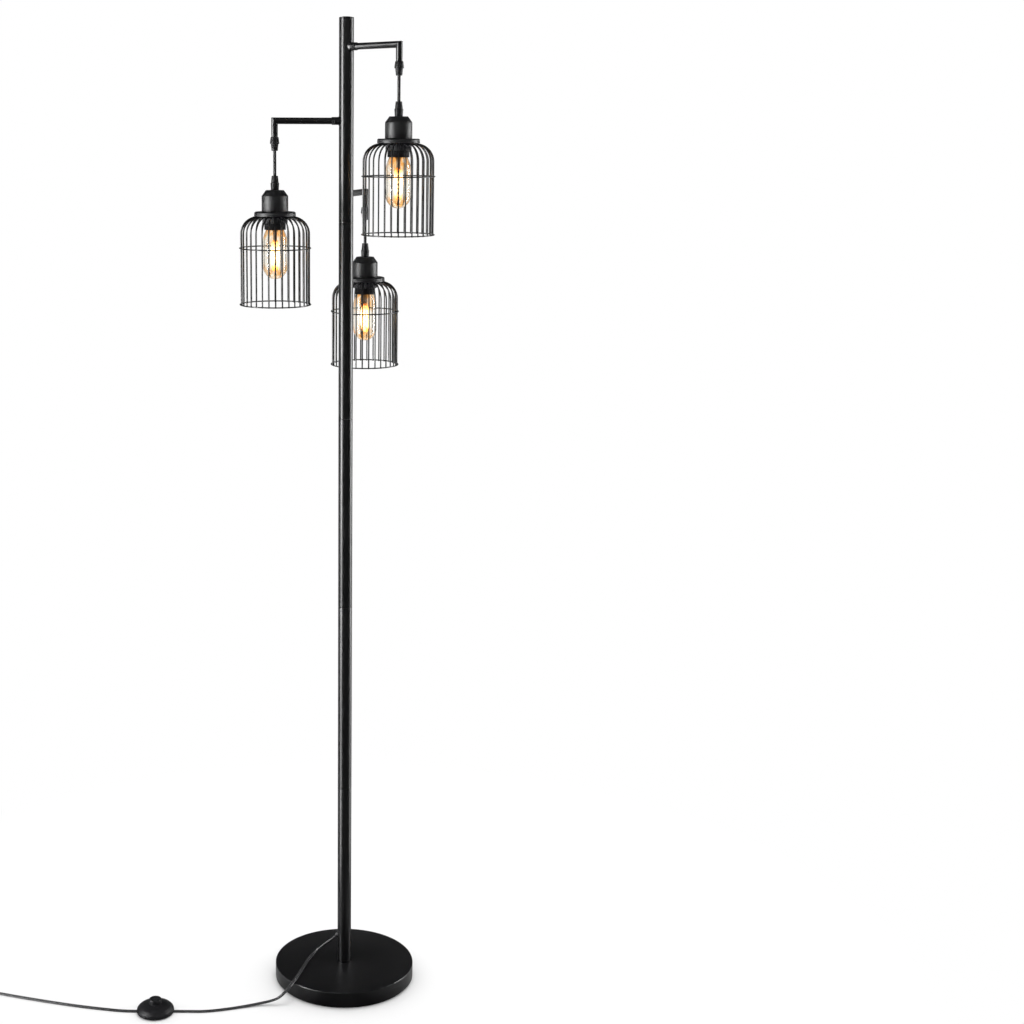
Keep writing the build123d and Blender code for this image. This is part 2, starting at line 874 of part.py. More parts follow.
# From the bush the cord drops to the base's top, lies across it, and falls over the edge. Half way
# down it twists, because the fall turns it, and it lies level again on the floor.
fall_top = Vector(-101.5, -107.0, 27.0)
fall_foot = Vector(-119.0, -112.0, 7.6)
fall = (fall_foot - fall_top).normalized()
twist_top = fall_top + fall * 9.0
twist_foot = fall_foot - fall * 9.0
upper_cord = flat_cord(
    [
        cord_start,
        cord_start + bush_out * 15.0,
        (-36.5, 10.6, 57.4),
        (-49.7, 13.3, 43.9),
        (-59.1, 8.3, 36.2),
        (-66.7, -1.9, base_line),
        (-73.0, -25.5, base_line),
        (-82.5, -59.0, base_line),
        (-93.5, -95.5, base_line + 1.0),
        fall_top,
        twist_top,
    ],
    level_run=6,
)
lower_cord = flat_cord(
    [
        twist_foot,
        fall_foot,
        (-133.0, -111.0, 2.2),
        (-150.0, -112.2, floor_line),
        (-171.0, -119.0, floor_line),
        (-204.0, -130.5, floor_line),
        (-246.0, -140.6, floor_line),
        (switch_x + switch_seat + 24.0, switch_y, floor_line),
        (switch_x + switch_seat, switch_y, floor_line),
    ]
)
with BuildPart() as power_cord:
    add(upper_cord)
    add(lower_cord)
    loft(
        [
            upper_cord.faces().sort_by_distance(twist_top)[0],
            lower_cord.faces().sort_by_distance(twist_foot)[0],
        ]
    )
save(power_cord.part, "power_cord_1")

coil_away = Vector(cos(radians(coil_heading)), sin(radians(coil_heading)), 0)
coil_side = Vector(sin(radians(coil_heading)), -cos(radians(coil_heading)), 0)
coil_centre = Vector(coil_x, coil_y, 0)


def in_coil(side, along, height):
    """A point in the coil's own axes: across to the incoming cord, and along the way it heads."""
    return coil_centre + coil_side * side + coil_away * along + Vector(0, 0, height)


coil_start = in_coil(coil_outer_radius, -cord_width, floor_line)
far_cord = flat_cord(
    [
        (switch_x - switch_seat, switch_y, floor_line),
        (switch_x - switch_seat - 24.0, switch_y, floor_line),
        (-430.0, -132.6, floor_line),
        (-480.0, -121.6, floor_line),
        (-535.0, -106.2, floor_line),
        (-588.0, -90.0, floor_line),
        coil_start - coil_away * 42.0,
        coil_start,
    ]
)
save(far_cord, "power_cord_2")

# The coil spirals in on the floor, climbs one layer in the half turn at its middle and spirals out
# again on top. Each half turn carries on from the last one's end, and each on the way in is half a
# pitch smaller.
half_pitch = coil_pitch / 2
shrink = list(range(coil_half_turns)) + [coil_half_turns] + list(range(coil_half_turns - 1, -1, -1))
side = coil_outer_radius
height = floor_line
coil_length = 2 * cord_width
samples = []
with BuildPart() as cord_coil:
    with BuildSketch(Plane(origin=coil_start, x_dir=coil_side, z_dir=coil_away)):
        Rectangle(cord_width, cord_thickness)
    extrude(amount=cord_width)
    for k, steps in enumerate(shrink):
        reach = coil_outer_radius - steps * half_pitch
        facing = 1 if k % 2 == 0 else -1
        climb = coil_layer_pitch if steps == coil_half_turns else 0.0
        turn_start = in_coil(side, 0, height)
        turn_end = in_coil(side - 2 * facing * reach, 0, height + climb)
        across = (turn_end - turn_start).normalized()
        end_face = cord_coil.faces().sort_by_distance(turn_start)[0]
        turn_axis = Axis((turn_start + turn_end) / 2, across.cross(coil_away * facing))
        revolve(end_face, axis=turn_axis, revolution_arc=-180)
        coil_length += pi * (turn_end - turn_start).length / 2
        for s in range(24):
            turn = radians(7.5 * s)
            along = facing * reach * sin(turn)
            rise = climb * (1 - cos(turn)) / 2
            samples.append(in_coil(side - facing * reach * (1 - cos(turn)), along, height + rise))
        side -= 2 * facing * reach
        height += climb
    extrude(cord_coil.faces().sort_by_distance(turn_end)[0], amount=cord_width)
coil_end = in_coil(side, -cord_width, height)
save(cord_coil.part, "cord_coil")

# The climb leaves the upper layer tipped a little, which takes from the room above the lower one.
tip = 2 * atan(coil_layer_pitch / 2 / (coil_outer_radius - coil_half_turns * half_pitch))
level_gap = coil_outer_radius
layer_gap = coil_outer_radius
for a in range(len(samples)):
    for b in range(a + 24, len(samples)):
        apart = samples[b] - samples[a]
        across = sqrt(apart.X**2 + apart.Y**2)
        if abs(apart.Z) < cord_thickness:
            level_gap = min(level_gap, across - cord_width)
        elif across < cord_width:
            layer_gap = min(layer_gap, abs(apart.Z) - cord_thickness - cord_width / 2 * sin(tip))
print("coil length", round(coil_length, 1))
print("coil least gap beside itself", round(level_gap, 2), "and above itself", round(layer_gap, 2))

# ---------------------------------------------------------------- plug
plug_frame = Plane(origin=coil_end, x_dir=coil_away * -1, z_dir=(0, 0, 1))
relief_start = Plane(origin=coil_end, x_dir=coil_side, z_dir=coil_away * -1)
with BuildPart(plug_frame) as plug_body:
    with Locations((plug_relief_length + plug_length / 2, 0, 0)):
        Box(plug_length, plug_width, plug_height)
    chamfer(plug_body.edges().filter_by(Axis.Z), length=plug_corner)
    with BuildSketch(relief_start):
        Rectangle(plug_relief_width, plug_relief_height)
    with BuildSketch(relief_start.offset(plug_relief_length)):
        Rectangle(plug_width / 2, plug_height - plug_corner)
    loft(ruled=True)
save(plug_body.part, "plug_body")

with BuildPart(plug_frame) as plug_blades:
    with Locations(
        (plug_relief_length + plug_length + blade_length / 2, -blade_spacing / 2, 0),
        (plug_relief_length + plug_length + blade_length / 2, blade_spacing / 2, 0),
    ):
        Box(blade_length, blade_thickness, blade_width)
save(plug_blades.part, "plug_blades")
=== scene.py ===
import json
import bmesh
import bpy
import numpy as np
from mathutils import Matrix


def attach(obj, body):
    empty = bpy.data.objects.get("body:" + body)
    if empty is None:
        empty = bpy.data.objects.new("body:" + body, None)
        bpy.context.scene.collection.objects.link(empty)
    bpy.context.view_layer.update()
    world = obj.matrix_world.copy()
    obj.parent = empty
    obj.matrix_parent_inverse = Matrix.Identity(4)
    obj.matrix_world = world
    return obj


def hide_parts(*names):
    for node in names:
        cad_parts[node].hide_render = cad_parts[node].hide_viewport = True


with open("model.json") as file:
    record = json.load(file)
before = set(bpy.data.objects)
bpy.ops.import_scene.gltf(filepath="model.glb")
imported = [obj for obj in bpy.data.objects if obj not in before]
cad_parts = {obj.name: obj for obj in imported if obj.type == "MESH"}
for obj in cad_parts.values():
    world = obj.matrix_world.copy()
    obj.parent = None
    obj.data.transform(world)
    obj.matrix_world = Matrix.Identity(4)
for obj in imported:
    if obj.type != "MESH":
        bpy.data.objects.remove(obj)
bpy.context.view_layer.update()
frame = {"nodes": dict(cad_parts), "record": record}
mm = 0.001
print("frame loaded")

# camera, fitted to the photo: focal length and principal point in pixels of a 1024 frame
camera = {"focal": 1721.04, "place": (0.0, -2.96866, 1.54785), "down": 0.1873, "roll": 0.0025,
          "centreX": 345.454, "centreY": 454.776, "frame": 1024, "sensor": 36.0}
cameraData = bpy.data.cameras.new("camera")
cameraData.sensor_width = camera["sensor"]
cameraData.lens = camera["focal"] * camera["sensor"] / camera["frame"]
cameraData.shift_x = 0.5 - camera["centreX"] / camera["frame"]
cameraData.shift_y = camera["centreY"] / camera["frame"] - 0.5
cameraObject = bpy.data.objects.new("camera", cameraData)
cameraObject.matrix_world = (Matrix.Translation(camera["place"])
                             @ Matrix.Rotation(np.pi / 2 - camera["down"], 4, "X")
                             @ Matrix.Rotation(camera["roll"], 4, "Z"))
bpy.context.scene.collection.objects.link(cameraObject)
bpy.context.scene.camera = cameraObject
bpy.context.scene.view_settings.view_transform = "Standard"
print("camera placed")


# materials
# a fresh material with its shader, and the coordinates that its patterns read
def newMaterial(name):
    material = bpy.data.materials.new(name)
    material.use_nodes = True
    nodes = material.node_tree.nodes
    shader = nodes["Principled BSDF"]
    coords = nodes.new("ShaderNodeTexCoord")
    return material, nodes, material.node_tree.links, shader, coords


# fractal noise at scale times the piece's own coordinates, each axis multiplied by its stretch first
def noiseOf(nodes, links, coords, scale, detail=4.0, stretch=(1, 1, 1)):
    mapping = nodes.new("ShaderNodeMapping")
    mapping.inputs["Scale"].default_value = stretch
    noise = nodes.new("ShaderNodeTexNoise")
    noise.inputs["Scale"].default_value = scale
    noise.inputs["Detail"].default_value = detail
    links.new(coords.outputs["Object"], mapping.inputs["Vector"])
    links.new(mapping.outputs["Vector"], noise.inputs["Vector"])
    return noise.outputs["Fac"]


# a colour that runs straight from low, where value is start, to high, where it is end, and stays flat beyond
def rampOf(nodes, links, value, low, high, start=0.3, end=0.7):
    ramp = nodes.new("ShaderNodeValToRGB")
    ramp.color_ramp.elements[0].position = start
    ramp.color_ramp.elements[1].position = end
    ramp.color_ramp.elements[0].color = (*low, 1)
    ramp.color_ramp.elements[1].color = (*high, 1)
    links.new(value, ramp.inputs["Fac"])
    return ramp.outputs["Color"]


# low + (high - low) (value - start) / (end - start), held between low and high
def rangeOf(nodes, links, value, low, high, start=0.3, end=0.7):
    mapped = nodes.new("ShaderNodeMapRange")
    mapped.inputs["From Min"].default_value = start
    mapped.inputs["From Max"].default_value = end
    mapped.inputs["To Min"].default_value = low
    mapped.inputs["To Max"].default_value = high
    links.new(value, mapped.inputs["Value"])
    return mapped.outputs["Result"]


# operation(first, second), such as their sum, their product or the larger of the two
def mathOf(nodes, links, operation, first, second):
    result = nodes.new("ShaderNodeMath")
    result.operation = operation
    links.new(first, result.inputs[0])
    links.new(second, result.inputs[1])
    return result.outputs[0]


# a finish is one base colour that wanders a little, a roughness that does too, and fine bumps
surface = {"patch": 14.0, "detail": 3.0, "bump": 0.6}


def finishOf(name, dark, light, rough, grain, height, specular=0.5, metallic=0.0, stretch=(1, 1, 1)):
    material, nodes, links, shader, coords = newMaterial(name)
    broad = noiseOf(nodes, links, coords, surface["patch"], surface["detail"])
    fine = noiseOf(nodes, links, coords, grain, surface["detail"], stretch)
    links.new(rampOf(nodes, links, broad, dark, light), shader.inputs["Base Color"])
    links.new(rangeOf(nodes, links, fine, *rough), shader.inputs["Roughness"])
    bump = nodes.new("ShaderNodeBump")
    bump.inputs["Strength"].default_value = surface["bump"]
    bump.inputs["Distance"].default_value = height
    links.new(fine, bump.inputs["Height"])
    links.new(bump.outputs["Normal"], shader.inputs["Normal"])
    shader.inputs["Specular IOR Level"].default_value = specular
    shader.inputs["Metallic"].default_value = metallic
    return material


finishes = {
    "black_steel": finishOf("blackPowderCoat", (0.0035, 0.0035, 0.004), (0.006, 0.006, 0.0065), (0.28, 0.36), 1500,
                            0.00002, specular=0.42),
    "cup_steel": finishOf("cupPowderCoat", (0.0035, 0.0035, 0.004), (0.006, 0.006, 0.0065), (0.44, 0.54), 1300,
                          0.00002, specular=0.42),
    "black_plastic": finishOf("blackPlastic", (0.006, 0.006, 0.007), (0.010, 0.010, 0.011), (0.44, 0.54), 1900,
                              0.00003, specular=0.22),
    "black_rubber": finishOf("blackRubber", (0.004, 0.004, 0.004), (0.008, 0.008, 0.008), (0.7, 0.85), 1600,
                             0.00005, specular=0.2),
    "black_flex": finishOf("blackCable", (0.008, 0.008, 0.009), (0.014, 0.014, 0.015), (0.40, 0.52), 1300,
                           0.00002, specular=0.4),
    "zinc_steel": finishOf("zincPlate", (0.48, 0.48, 0.47), (0.66, 0.66, 0.67), (0.22, 0.38), 500, 0.00001,
                           metallic=1.0, stretch=(1, 1, 0.1)),
    "concrete": finishOf("castBallast", (0.32, 0.31, 0.29), (0.5, 0.49, 0.46), (0.85, 0.95), 260, 0.0003,
                         specular=0.2),
    "brass": finishOf("brassBlade", (0.62, 0.46, 0.2), (0.8, 0.62, 0.3), (0.2, 0.34), 600, 0.00001, metallic=1.0,
                      stretch=(0.1, 1, 1)),
    "bulb_brass": finishOf("nickelShell", (0.55, 0.5, 0.42), (0.72, 0.68, 0.58), (0.2, 0.32), 700, 0.00001,
                           metallic=1.0),
}


# the level that a piece's points carry, from 0 at one height to 1 at another
def levelOf(nodes):
    attribute = nodes.new("ShaderNodeAttribute")
    attribute.attribute_name = "level"
    return attribute.outputs["Fac"]


# clear glass: amber specks and streaks gather at its neck, where level is 1, and lightly near its tip;
# the stain is the speck noise times the larger of the two ends' strengths
glassLook = {"scale": 150, "detail": 6.0, "stretch": (1, 1, 0.45), "neck": (0.72, 1.28, 0.45, 0.9),
             "tip": (1.12, 0.72, 0.12, 0.42), "clear": (1.0, 0.975, 0.92), "amber": (0.98, 0.6, 0.24),
             "stain": (0.44, 0.72), "rough": (0.0, 0.05), "index": 1.38}


def glassFinish():
    material, nodes, links, shader, coords = newMaterial("amberGlass")
    speck = noiseOf(nodes, links, coords, glassLook["scale"], glassLook["detail"], glassLook["stretch"])
    level = levelOf(nodes)
    ends = mathOf(nodes, links, "MAXIMUM", rangeOf(nodes, links, level, *glassLook["neck"]),
                  rangeOf(nodes, links, level, *glassLook["tip"]))
    stain = mathOf(nodes, links, "MULTIPLY", speck, ends)
    links.new(rampOf(nodes, links, stain, glassLook["clear"], glassLook["amber"], *glassLook["stain"]),
              shader.inputs["Base Color"])
    links.new(rangeOf(nodes, links, speck, *glassLook["rough"]), shader.inputs["Roughness"])
    shader.inputs["Transmission Weight"].default_value = 1.0
    shader.inputs["IOR"].default_value = glassLook["index"]
    return material


# the lit strands: pale and bright half way down and orange where they meet the hubs; the glow is the flicker
# noise times how far a point is from both hubs
glowLook = {"scale": 330, "detail": 3.0, "stretch": (1, 1, 0.5), "fromFoot": (0.12, 1.0, 0.02, 0.3),
            "fromTop": (1.0, 0.1, 0.66, 0.95), "flicker": (4.0, 15.0, 0.35, 0.6), "orange": (1.0, 0.34, 0.05),
            "pale": (1.0, 0.62, 0.24), "turns": (0.2, 0.9), "dark": (0.5, 0.25, 0.08),
            "light": (0.7, 0.45, 0.15), "rough": 0.5}


def glowFinish():
    material, nodes, links, shader, coords = newMaterial("strandGlow")
    flicker = noiseOf(nodes, links, coords, glowLook["scale"], glowLook["detail"], glowLook["stretch"])
    level = levelOf(nodes)
    middle = mathOf(nodes, links, "MULTIPLY", rangeOf(nodes, links, level, *glowLook["fromFoot"]),
                    rangeOf(nodes, links, level, *glowLook["fromTop"]))
    strength = mathOf(nodes, links, "MULTIPLY", rangeOf(nodes, links, flicker, *glowLook["flicker"]), middle)
    links.new(rampOf(nodes, links, middle, glowLook["orange"], glowLook["pale"], *glowLook["turns"]),
              shader.inputs["Emission Color"])
    links.new(rampOf(nodes, links, flicker, glowLook["dark"], glowLook["light"]), shader.inputs["Base Color"])
    links.new(strength, shader.inputs["Emission Strength"])
    shader.inputs["Roughness"].default_value = glowLook["rough"]
    return material


# the flat power cord's finish is a lighter copy of the black cable finish: its colour is painted lighter to stand for
# the light the cord catches lying on the base and floor
twinCordPaintedLit = finishOf("twinCordPaintedLit", (0.028, 0.028, 0.029), (0.044, 0.044, 0.046), (0.36, 0.48), 1300, 0.00002)
finishes["amber_glass"] = glassFinish()
strandGlow = glowFinish()
stemGlass = finishOf("stemGlass", (0.16, 0.13, 0.1), (0.3, 0.26, 0.2), (0.08, 0.16), 300, 0.00001)
print("materials ready")


# surfaces
# the angles of a ring, 2 pi k / sides
def ringAngles(sides):
    return np.arange(sides) * 2 * np.pi / sides


# quad (i, j) of a grid joins its corners (i, j), (i, j+1), (i+1, j+1) and (i+1, j); each row closes on itself,
# and with loop the last row joins the first
def gridFaces(rows, columns, loop=False):
    i, j = np.meshgrid(np.arange(rows if loop else rows - 1), np.arange(columns), indexing="ij")
    nextRow, nextColumn = (i + 1) % rows, (j + 1) % columns
    return np.stack([i * columns + j, i * columns + nextColumn,
                     nextRow * columns + nextColumn, nextRow * columns + j], -1).reshape(-1, 4)


# each corner of an outline becomes an arc: its centre lies on the corner's bisector, radius / sin(half angle) away,
# and the arc swings from the foot of one edge's normal to the other's
def softened(outline, radii, steps=6, loop=True):
    points = np.asarray(outline, float)
    radii = np.broadcast_to(np.asarray(radii, float), len(points)).copy()
    if not loop:
        radii[[0, -1]] = 0
    before = np.roll(points, 1, 0) - points
    after = np.roll(points, -1, 0) - points
    before /= np.maximum(np.linalg.norm(before, axis=1, keepdims=True), 1e-9)
    after /= np.maximum(np.linalg.norm(after, axis=1, keepdims=True), 1e-9)
    half = np.arccos(np.clip((before * after).sum(1), -0.99999, 0.99999)) / 2
    bisector = before + after
    bisector /= np.maximum(np.linalg.norm(bisector, axis=1, keepdims=True), 1e-9)
    centre = points + bisector * (radii / np.sin(half))[:, None]
    foot = (radii / np.tan(half))[:, None]
    start, end = points + before * foot - centre, points + after * foot - centre
    swing = (np.pi - 2 * half)[:, None, None]
    part = np.linspace(0, 1, steps)[None, :, None]
    arc = start[:, None] * np.sin((1 - part) * swing) + end[:, None] * np.sin(part * swing)
    arc = centre[:, None] + arc / np.maximum(np.sin(swing), 1e-6)
    whole = arc.reshape(-1, 2)
    keep = np.ones(len(whole), bool)
    keep[1:] = np.linalg.norm(np.diff(whole, axis=0), axis=1) > 1e-6
    return whole[keep]


# a turned form: (radius, height) rows spun about Z, x = r cos t, y = r sin t, plus a flute's own change of radius
def turned(outline, sides=96, flute=None):
    turn = ringAngles(sides)
    radius, height = outline[:, 0, None] + 0 * turn, outline[:, 1, None] + 0 * turn
    if flute is not None:
        radius = radius + flute(radius, height, turn[None, :])
    return np.stack([radius * np.cos(turn), radius * np.sin(turn), height], -1)


# a tube: ring i is centre i + r i (cos a * up i + sin a * across i)
def tube(centres, ups, acrosses, radii, sides):
    angle = ringAngles(sides)
    radii = np.broadcast_to(np.asarray(radii, float), len(centres))[:, None, None]
    ring = (np.cos(angle)[None, :, None] * ups[:, None, :]
            + np.sin(angle)[None, :, None] * acrosses[:, None, :])
    return centres[:, None, :] + radii * ring


# one mesh of one or more grids, each given in millimetres, placed by a matrix; doubles at poles are merged;
# level = (height - low) / (high - low), held between 0 and 1, where the piece's finish asks for one
def pieceOf(name, grids, finish, body, nodes=(), slot=None, place=None, sharp=34.0, loop=True, levels=None):
    points, faces, count = [], [], 0
    for grid in grids:
        rows, columns = grid.shape[:2]
        points.append(grid.reshape(-1, 3))
        faces.append(gridFaces(rows, columns, loop) + count)
        count += rows * columns
    points = np.concatenate(points) * mm
    if place is not None:
        points = points @ np.array(place.to_3x3()).T + np.array(place.translation)
    mesh = bpy.data.meshes.new(name)
    mesh.from_pydata(points.tolist(), [], np.concatenate(faces).tolist())
    work = bmesh.new()
    work.from_mesh(mesh)
    bmesh.ops.remove_doubles(work, verts=work.verts, dist=2e-6)
    bmesh.ops.dissolve_degenerate(work, edges=work.edges, dist=1e-7)
    bmesh.ops.recalc_face_normals(work, faces=work.faces)
    work.to_mesh(mesh)
    work.free()
    if levels:
        spot = np.zeros(len(mesh.vertices) * 3)
        mesh.vertices.foreach_get("co", spot)
        up = (spot[2::3] - place.translation.z) / mm
        level = np.clip((up - levels[0]) / (levels[1] - levels[0]), 0, 1)
        mesh.attributes.new("level", "FLOAT", "POINT").data.foreach_set("value", level.astype(np.float32))
    mesh.shade_smooth()
    mesh.set_sharp_from_angle(angle=np.radians(sharp))
    mesh.materials.append(finish)
    piece = bpy.data.objects.new(name, mesh)
    bpy.context.scene.collection.objects.link(piece)
    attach(piece, body)
    if nodes:
        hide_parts(*nodes)
    return piece


# power cord: the route is a NURBS line, and the flat twin section follows it with its wide side level
cord = {"width": 6.4, "thickness": 3.2, "web": 0.62, "sides": 28, "lead": 15.0, "atSwitch": 24.0,
        "exit": (-14.82, 3.28, 77.19), "out": (-0.7255, 0.1608, -0.6691)}
base = {"radius": 127.0, "top": 30.0, "foot": 3.5, "sheet": 1.5, "edge": 1.5, "hole": 5.2}
switch = {"x": -336.0, "y": -140.0, "seat": 31.0}
floorLine = cord["thickness"] / 2
baseLine = base["top"] + floorLine


# the spline's own points, read from a curve with no bevel
def splinePoints(name, points):
    curve = bpy.data.curves.new(name, "CURVE")
    curve.dimensions = "3D"
    curve.resolution_u = 8
    spline = curve.splines.new("NURBS")
    spline.points.add(len(points) - 1)
    homogeneous = np.column_stack([np.asarray(points) * mm, np.ones(len(points))])
    spline.points.foreach_set("co", homogeneous.ravel())
    spline.order_u = 3
    spline.use_endpoint_u = True
    curveObject = bpy.data.objects.new(name, curve)
    bpy.context.scene.collection.objects.link(curveObject)
    bpy.context.view_layer.update()
    mesh = bpy.data.meshes.new_from_object(curveObject)
    line = np.zeros(len(mesh.vertices) * 3)
    mesh.vertices.foreach_get("co", line)
    bpy.data.objects.remove(curveObject)
    bpy.data.meshes.remove(mesh)
    return line.reshape(-1, 3)


# the section is two round cores side by side, joined by a web: half height is the larger of each core's circle and
# the web; the rings stand square to the line, their wide side across the line and level
def flatCord(name, points, body, nodes):
    line = splinePoints(name + "_line", points)
    apart = np.linalg.norm(np.diff(line, axis=0), axis=1)
    line = line[np.concatenate([[True], apart > 1e-6])]
    heading = np.gradient(line, axis=0)
    heading /= np.linalg.norm(heading, axis=1, keepdims=True)
    wide = np.cross(np.array([0.0, 0.0, 1.0]), heading)
    wide /= np.linalg.norm(wide, axis=1, keepdims=True)
    upright = np.cross(heading, wide)
    core = cord["thickness"] / 2
    spread = cord["width"] / 2 - core
    angle = ringAngles(cord["sides"])
    side = spread * np.cos(angle) + core * np.cos(angle)
    fromCore = np.clip(np.abs(side) - spread, -core, core)
    tall = np.maximum(np.sqrt(np.maximum(core**2 - fromCore**2, 0)), cord["web"] * (np.abs(side) < spread))
    tall = tall * np.sign(np.round(np.sin(angle), 6))
    ring = wide[:, None, :] * side[None, :, None] + upright[:, None, :] * tall[None, :, None]
    rings = line[:, None, :] / mm + ring
    caps = [line[:1, None, :] / mm + 0 * ring[:1], rings, line[-1:, None, :] / mm + 0 * ring[-1:]]
    # the cord takes the lighter copy of the cable finish, painted lighter for the light it catches
    piece = pieceOf(name, [np.concatenate(caps)], twinCordPaintedLit, body, nodes, "black_flex", sharp=60, loop=False)
    return piece, line


exitPoint = np.array(cord["exit"])
out = np.array(cord["out"])
upperRoute = np.array([
    exitPoint,
    exitPoint + out * cord["lead"],
    (-36.5, 10.6, 57.4), (-49.7, 13.3, 43.9), (-59.1, 8.3, 36.2), (-66.7, -1.9, baseLine),
    (-73.0, -25.5, baseLine), (-82.5, -59.0, baseLine), (-93.5, -95.5, baseLine + 1.0),
    (-102.0, -107.5, 26.5), (-117.0, -113.5, 13.0), (-134.0, -113.5, 7.0), (-151.0, -115.5, 4.0),
    (-173.0, -121.0, 2.2), (-204.0, -130.5, floorLine), (-246.0, -140.6, floorLine),
    (switch["x"] + switch["seat"] + cord["atSwitch"], switch["y"], floorLine),
    (switch["x"] + switch["seat"], switch["y"], floorLine),
])

# the coil: half turns that each shrink by half a pitch on the way in, climb one layer in the middle one, and grow
# again on the way out; a control point stands radius / cos(half step) from its half turn's centre
coil = {"centre": (-686.0, -98.0), "heading": np.radians(160.5), "radius": 39.5, "halfPitch": 3.45, "layer": 4.2,
        "steps": (0, 1, 2, 3, 2, 1, 0), "perHalf": 6, "lead": 42.0}
along = np.array([np.cos(coil["heading"]), np.sin(coil["heading"]), 0])
across = np.array([np.sin(coil["heading"]), -np.cos(coil["heading"]), 0])


# a place in the coil: its centre + side across + ahead along, lifted by height
def inCoil(side, ahead, height):
    place = np.multiply.outer(side, across) + np.multiply.outer(ahead, along)
    place[..., :2] += coil["centre"]
    place[..., 2] += height
    return place


coilPoints, side, height = [], coil["radius"], floorLine
halfTurn = (np.arange(coil["perHalf"]) + 0.5) * np.pi / coil["perHalf"]
for k, step in enumerate(coil["steps"]):
    loopRadius = coil["radius"] - step * coil["halfPitch"]
    facing = 1 if k % 2 == 0 else -1
    climb = coil["layer"] if step == max(coil["steps"]) else 0.0
    wider = loopRadius / np.cos(np.pi / coil["perHalf"] / 2)
    coilPoints.append(inCoil(side - facing * loopRadius + facing * wider * np.cos(halfTurn),
                             facing * wider * np.sin(halfTurn), height + climb * (1 - np.cos(halfTurn)) / 2))
    side -= 2 * facing * loopRadius
    height += climb
coilStart = inCoil(np.array(coil["radius"]), np.array(-cord["width"]), floorLine)
coilEnd = inCoil(np.array(side), np.array(-cord["width"]), height)
farRoute = np.concatenate([
    np.array([
        (switch["x"] - switch["seat"], switch["y"], floorLine),
        (switch["x"] - switch["seat"] - cord["atSwitch"], switch["y"], floorLine),
        (-430.0, -132.6, floorLine), (-480.0, -121.6, floorLine), (-535.0, -106.2, floorLine),
        (-588.0, -90.0, floorLine), coilStart - along * coil["lead"], coilStart,
    ]),
    *coilPoints,
    coilEnd[None, :],
])
upperCord, upperLine = flatCord("upperCord", upperRoute, "stand", ("power_cord_1",))
farCord, farLine = flatCord("farCord", farRoute, "stand", ("power_cord_2", "cord_coil"))
print("cords laid")

# foot switch, about its own centre
switchPlace = Matrix.Translation((switch["x"] * mm, switch["y"] * mm, 0))
switchBase = pieceOf("switchBase", [turned(softened(
    [(0, 0), (29.8, 0), (32.4, 1.6), (33.0, 3.6), (33.0, 5.2), (30.0, 5.2), (30.0, 2.0), (0, 2.0)],
    (0, 2.0, 1.2, 1.5, 0.25, 0.2, 0.5, 0), loop=False))], finishes["black_plastic"], "stand", ("switch_base",),
    "black_plastic", switchPlace, loop=False)
switchCover = pieceOf("switchCover", [turned(softened(
    [(29.6, 5.25), (33.0, 5.25), (32.4, 8.6), (27.6, 13.4), (20.2, 16.9), (13.2, 18.5), (11.5, 18.6), (11.5, 16.2),
     (14.5, 16.2), (27.6, 8.6)],
    (0.2, 0.25, 5.0, 9.0, 14.0, 4.0, 0.4, 0.2, 1.0, 2.0)))], finishes["black_plastic"], "stand", ("switch_cover",),
    "black_plastic", switchPlace)
# the button rides its own body, so it sinks when it is pressed
switchButton = pieceOf("switchButton", [turned(softened(
    [(0, 8.2), (3.0, 8.2), (3.0, 14.2), (13.0, 14.2), (13.0, 15.9), (11.1, 15.9), (11.1, 26.7), (7.5, 26.5),
     (0, 26.2)],
    (0, 0.5, 0.2, 0.3, 0.3, 0.2, 2.2, 5.0, 0), loop=False))], finishes["black_plastic"], "switch_button",
    ("switch_button",), "black_plastic", switchPlace, loop=False)

# plug: sections of a rounded box, |y/w|^n + |z/h|^n = 1, along the way it points
plugRows = np.array([  # along, half width w, half height h, power n
    (0.0, 0.0, 0.0, 2.2), (0.0, 3.6, 2.3, 2.2), (0.8, 3.8, 2.5, 2.2), (5.0, 4.2, 2.7, 2.3), (5.3, 3.7, 2.3, 2.3),
    (6.6, 3.7, 2.3, 2.3), (6.9, 4.6, 2.9, 2.4), (10.0, 4.9, 3.1, 2.4), (10.3, 4.1, 2.6, 2.4), (11.6, 4.2, 2.6, 2.4),
    (11.9, 5.4, 3.3, 2.5), (15.0, 5.8, 3.5, 2.6), (15.3, 4.7, 3.0, 2.6), (16.6, 4.9, 3.0, 2.6), (16.9, 6.0, 3.8, 2.8),
    (20.2, 6.2, 3.9, 3.0), (20.8, 8.6, 4.5, 3.4), (22.4, 11.2, 5.1, 3.6), (25.0, 12.3, 5.4, 3.6),
    (41.0, 12.5, 5.4, 3.6), (43.2, 12.1, 5.2, 3.6), (44.0, 11.2, 4.6, 3.4), (44.0, 0.0, 0.0, 3.4)])
plugAngle = ringAngles(64)
power = 2 / plugRows[:, 3, None]
plugGrid = np.stack([
    plugRows[:, 0, None] + 0 * plugAngle,
    plugRows[:, 1, None] * np.sign(np.cos(plugAngle)) * np.abs(np.cos(plugAngle)) ** power,
    plugRows[:, 2, None] * np.sign(np.sin(plugAngle)) * np.abs(np.sin(plugAngle)) ** power], -1)
plugPlace = Matrix.Translation(coilEnd * mm) @ Matrix.Rotation(coil["heading"] + np.pi, 4, "Z")
plugBody = pieceOf("plugBody", [plugGrid], finishes["black_plastic"], "stand", ("plug_body",), "black_plastic",
                   plugPlace, sharp=40, loop=False)


print("switch and plug made")

